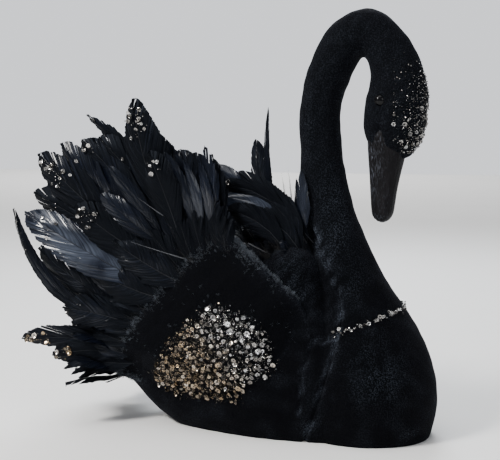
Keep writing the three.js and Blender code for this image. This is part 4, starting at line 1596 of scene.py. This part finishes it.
class SWAN_OT_down(bpy.types.Operator):
    """Fluffs soft down round the roots of the wing and back feathers"""

    bl_idname = "swan.down"
    bl_label = "Down"

    def execute(self, context):
        finish = down_finish(context.scene.swan_colours)
        templates = {"down": variants(down_template, 34, (71, 72, 73))}
        for name, turn in SIDES:
            chance = np.random.default_rng(75 + turn)
            made = []
            for share in np.linspace(0.02, 0.99, 84):
                place = rim_place(WING_RIM, share)
                pitch = math.radians(np.interp(share, [0, 1], [0, 90]) + chance.normal() * 13)
                along = np.array([-math.cos(pitch), 0, math.sin(pitch)])
                depth = wing_depth(*place) - chance.uniform(5, 15)
                root = np.array([place[0], turn * depth, place[1]]) - along * 6
                tip = root + along * chance.uniform(20, 34 + 26 * share)
                tip[1] += turn * chance.uniform(0, 4 + 8 * share)
                roll, tone = chance.normal(), chance.random()
                made.append(Feather(root, tip, (0, turn, 0.1), 26, 0, 0.03, roll, "down", tone))
            plumage("swan_down_" + name, made, templates, finish, 77)
        chance = np.random.default_rng(79)
        made = []
        for _ in range(190):
            x, y = chance.uniform(-140, 18), float(np.clip(chance.normal() * 22, -38, 38))
            root = np.array([x, y, back_height(x) - 8 - (y / 34) ** 2 * 8])
            along = unit(np.array([-0.5, y / 60, 0.8]) + chance.normal(size=3) * 0.3)
            tip = root + along * chance.uniform(20, 38)
            roll, tone = chance.normal(), chance.random()
            made.append(Feather(root, tip, (0, -1, 0), 24, 0, 0.03, roll, "down", tone))
        plumage("swan_down_back", made, templates, finish, 78)
        return {"FINISHED"}


class SWAN_OT_bill(bpy.types.Operator):
    """Casts the two halves of the bill"""

    bl_idname = "swan.bill"
    bl_label = "Bill"

    def execute(self, context):
        sizes, colours = context.scene.swan_sizes, context.scene.swan_colours

        def ridges(angle):
            return 1 + 0.006 * math.cos(sizes.bill_ridges * angle)

        upper = loft(bill_sections(BILL_STATIONS, 90), 120, 2.2, ridges)
        lower = loft(bill_sections(LOWER_BILL_STATIONS, 70), 80, 2.2)
        piece("swan_bill", as_mesh(joined(upper, lower)), bill_finish(colours), ("bill",))
        return {"FINISHED"}


class SWAN_OT_eyes(bpy.types.Operator):
    """Sets the glass eyes"""

    bl_idname = "swan.eyes"
    bl_label = "Eyes"

    def execute(self, context):
        finish = eye_finish(context.scene.swan_colours)
        for name, turn, node in (
            ("swan_eye_right", -1, "eye_right"),
            ("swan_eye_left", 1, "eye_left"),
        ):
            bead = bmesh.new()
            bmesh.ops.create_uvsphere(bead, u_segments=40, v_segments=24, radius=EYE_RADIUS)
            bmesh.ops.scale(bead, vec=(1, 0.8, 1), verts=bead.verts)
            bmesh.ops.translate(bead, vec=(EYE[0], turn * (EYE[1] + 0.6), EYE[2]), verts=bead.verts)
            piece(name, as_mesh(bead), finish, (node,))
        return {"FINISHED"}


# Round lamps: name, place, size, power, colour and the place that they point at.
SWAN_MIDDLE = (-0.06, 0, 0.2)
ROUND_LAMPS = (
    ("key", (-0.9, -1.1, 1.35), 0.45, 40, (1.0, 0.98, 0.95), SWAN_MIDDLE),
    ("fill", (1.3, -0.9, 0.9), 0.8, 6, (0.93, 0.96, 1.0), SWAN_MIDDLE),
    ("back", (-0.2, 1.3, 1.3), 0.8, 22, (0.9, 0.95, 1.0), SWAN_MIDDLE),
    ("far_floor", (-2.0, 5.2, 2.6), 4.0, 110, (1.0, 1.0, 1.0), None),
)
# How bright the surroundings light the swan, and how bright the camera sees them.
GLOW, BACKDROP = 0.30, 1.3
# The camera: its place, how far it looks down and turns, the photograph's width and its focal
# length, both in pixels, and the sensor's width in millimetres.
CAMERA_PLACE, CAMERA_DOWN, CAMERA_TURN = (0.25394, -0.98792, 0.306), 5.71, 17
PHOTO_WIDTH, PHOTO_FOCAL, SENSOR = 500, 1000, 36


def hung(name, block, place=(0, 0, 0), turned=(0, 0, 0)):
    """Puts a lamp or a camera in the scene."""
    obj = bpy.data.objects.new(name, block)
    obj.location = place
    obj.rotation_euler = turned
    bpy.context.scene.collection.objects.link(obj)
    return obj


class SWAN_OT_stage(bpy.types.Operator):
    """Sets the pale floor, the soft studio lights and the camera"""

    bl_idname = "swan.stage"
    bl_label = "Stage"

    def execute(self, context):
        floor = bmesh.new()
        bmesh.ops.create_grid(floor, x_segments=2, y_segments=2, size=6)
        mesh = as_mesh(floor, "stage_floor")
        mesh.materials.append(floor_finish(context.scene.swan_colours))
        ground = bpy.data.objects.new("stage_floor", mesh)
        context.scene.collection.objects.link(ground)
        world = bpy.data.worlds.new("studio")
        world.use_nodes = True
        sky = world.node_tree
        glow = sky.nodes["Background"]
        glow.inputs["Color"].default_value = (0.86, 0.88, 0.92, 1)
        path = sky.nodes.new("ShaderNodeLightPath")
        strength = sky.nodes.new("ShaderNodeMapRange")
        strength.inputs["To Min"].default_value = GLOW
        strength.inputs["To Max"].default_value = BACKDROP
        sky.links.new(path.outputs["Is Camera Ray"], strength.inputs["Value"])
        sky.links.new(strength.outputs["Result"], glow.inputs["Strength"])
        context.scene.world = world
        for name, spot, size, power, tint, aim in ROUND_LAMPS:
            light = bpy.data.lights.new(name, "AREA")
            light.shape = "DISK"
            light.size, light.energy, light.color = size, power, tint
            turned = (0, 0, 0)
            if aim:
                turned = (Vector(aim) - Vector(spot)).to_track_quat("-Z", "Y").to_euler()
            hung(name, light, spot, turned)
        sun = bpy.data.lights.new("top", "SUN")
        sun.energy, sun.angle = 1.5, math.radians(45)
        hung("top", sun, turned=(math.radians(8), math.radians(-10), 0))
        view = bpy.data.cameras.new("photo_view")
        view.sensor_width = SENSOR
        view.lens = SENSOR * PHOTO_FOCAL / PHOTO_WIDTH
        turned = (math.radians(90 - CAMERA_DOWN), 0, math.radians(CAMERA_TURN))
        context.scene.camera = hung("photo_view", view, CAMERA_PLACE, turned)
        return {"FINISHED"}


STEPS = (
    SWAN_OT_skin,
    SWAN_OT_wing_pads,
    SWAN_OT_loose_nap,
    SWAN_OT_sequins,
    SWAN_OT_necklace,
    SWAN_OT_wing_feathers,
    SWAN_OT_back_feathers,
    SWAN_OT_down,
    SWAN_OT_bill,
    SWAN_OT_eyes,
    SWAN_OT_stage,
)


class SWAN_PT_pieces(bpy.types.Panel):
    """Lists the pieces of the swan"""

    bl_label = "Black Velvet Swan"
    bl_idname = "SWAN_PT_pieces"
    bl_space_type = "VIEW_3D"
    bl_region_type = "UI"
    bl_category = "Swan"

    def draw(self, context):
        for group in (context.scene.swan_sizes, context.scene.swan_colours):
            for key in group.__annotations__:
                self.layout.prop(group, key)
        for step in STEPS:
            self.layout.operator(step.bl_idname)


CLASSES = (SwanSizes, SwanColours, *STEPS, SWAN_PT_pieces)


def register():
    for entry in CLASSES:
        bpy.utils.register_class(entry)
    bpy.types.Scene.swan_sizes = bpy.props.PointerProperty(type=SwanSizes)
    bpy.types.Scene.swan_colours = bpy.props.PointerProperty(type=SwanColours)


def unregister():
    del bpy.types.Scene.swan_colours
    del bpy.types.Scene.swan_sizes
    for entry in reversed(CLASSES):
        bpy.utils.unregister_class(entry)


def main():
    """Builds every piece in order."""
    register()
    for step in STEPS:
        group, name = step.bl_idname.split(".")
        getattr(getattr(bpy.ops, group), name)()


if __name__ == "__main__":
    main()
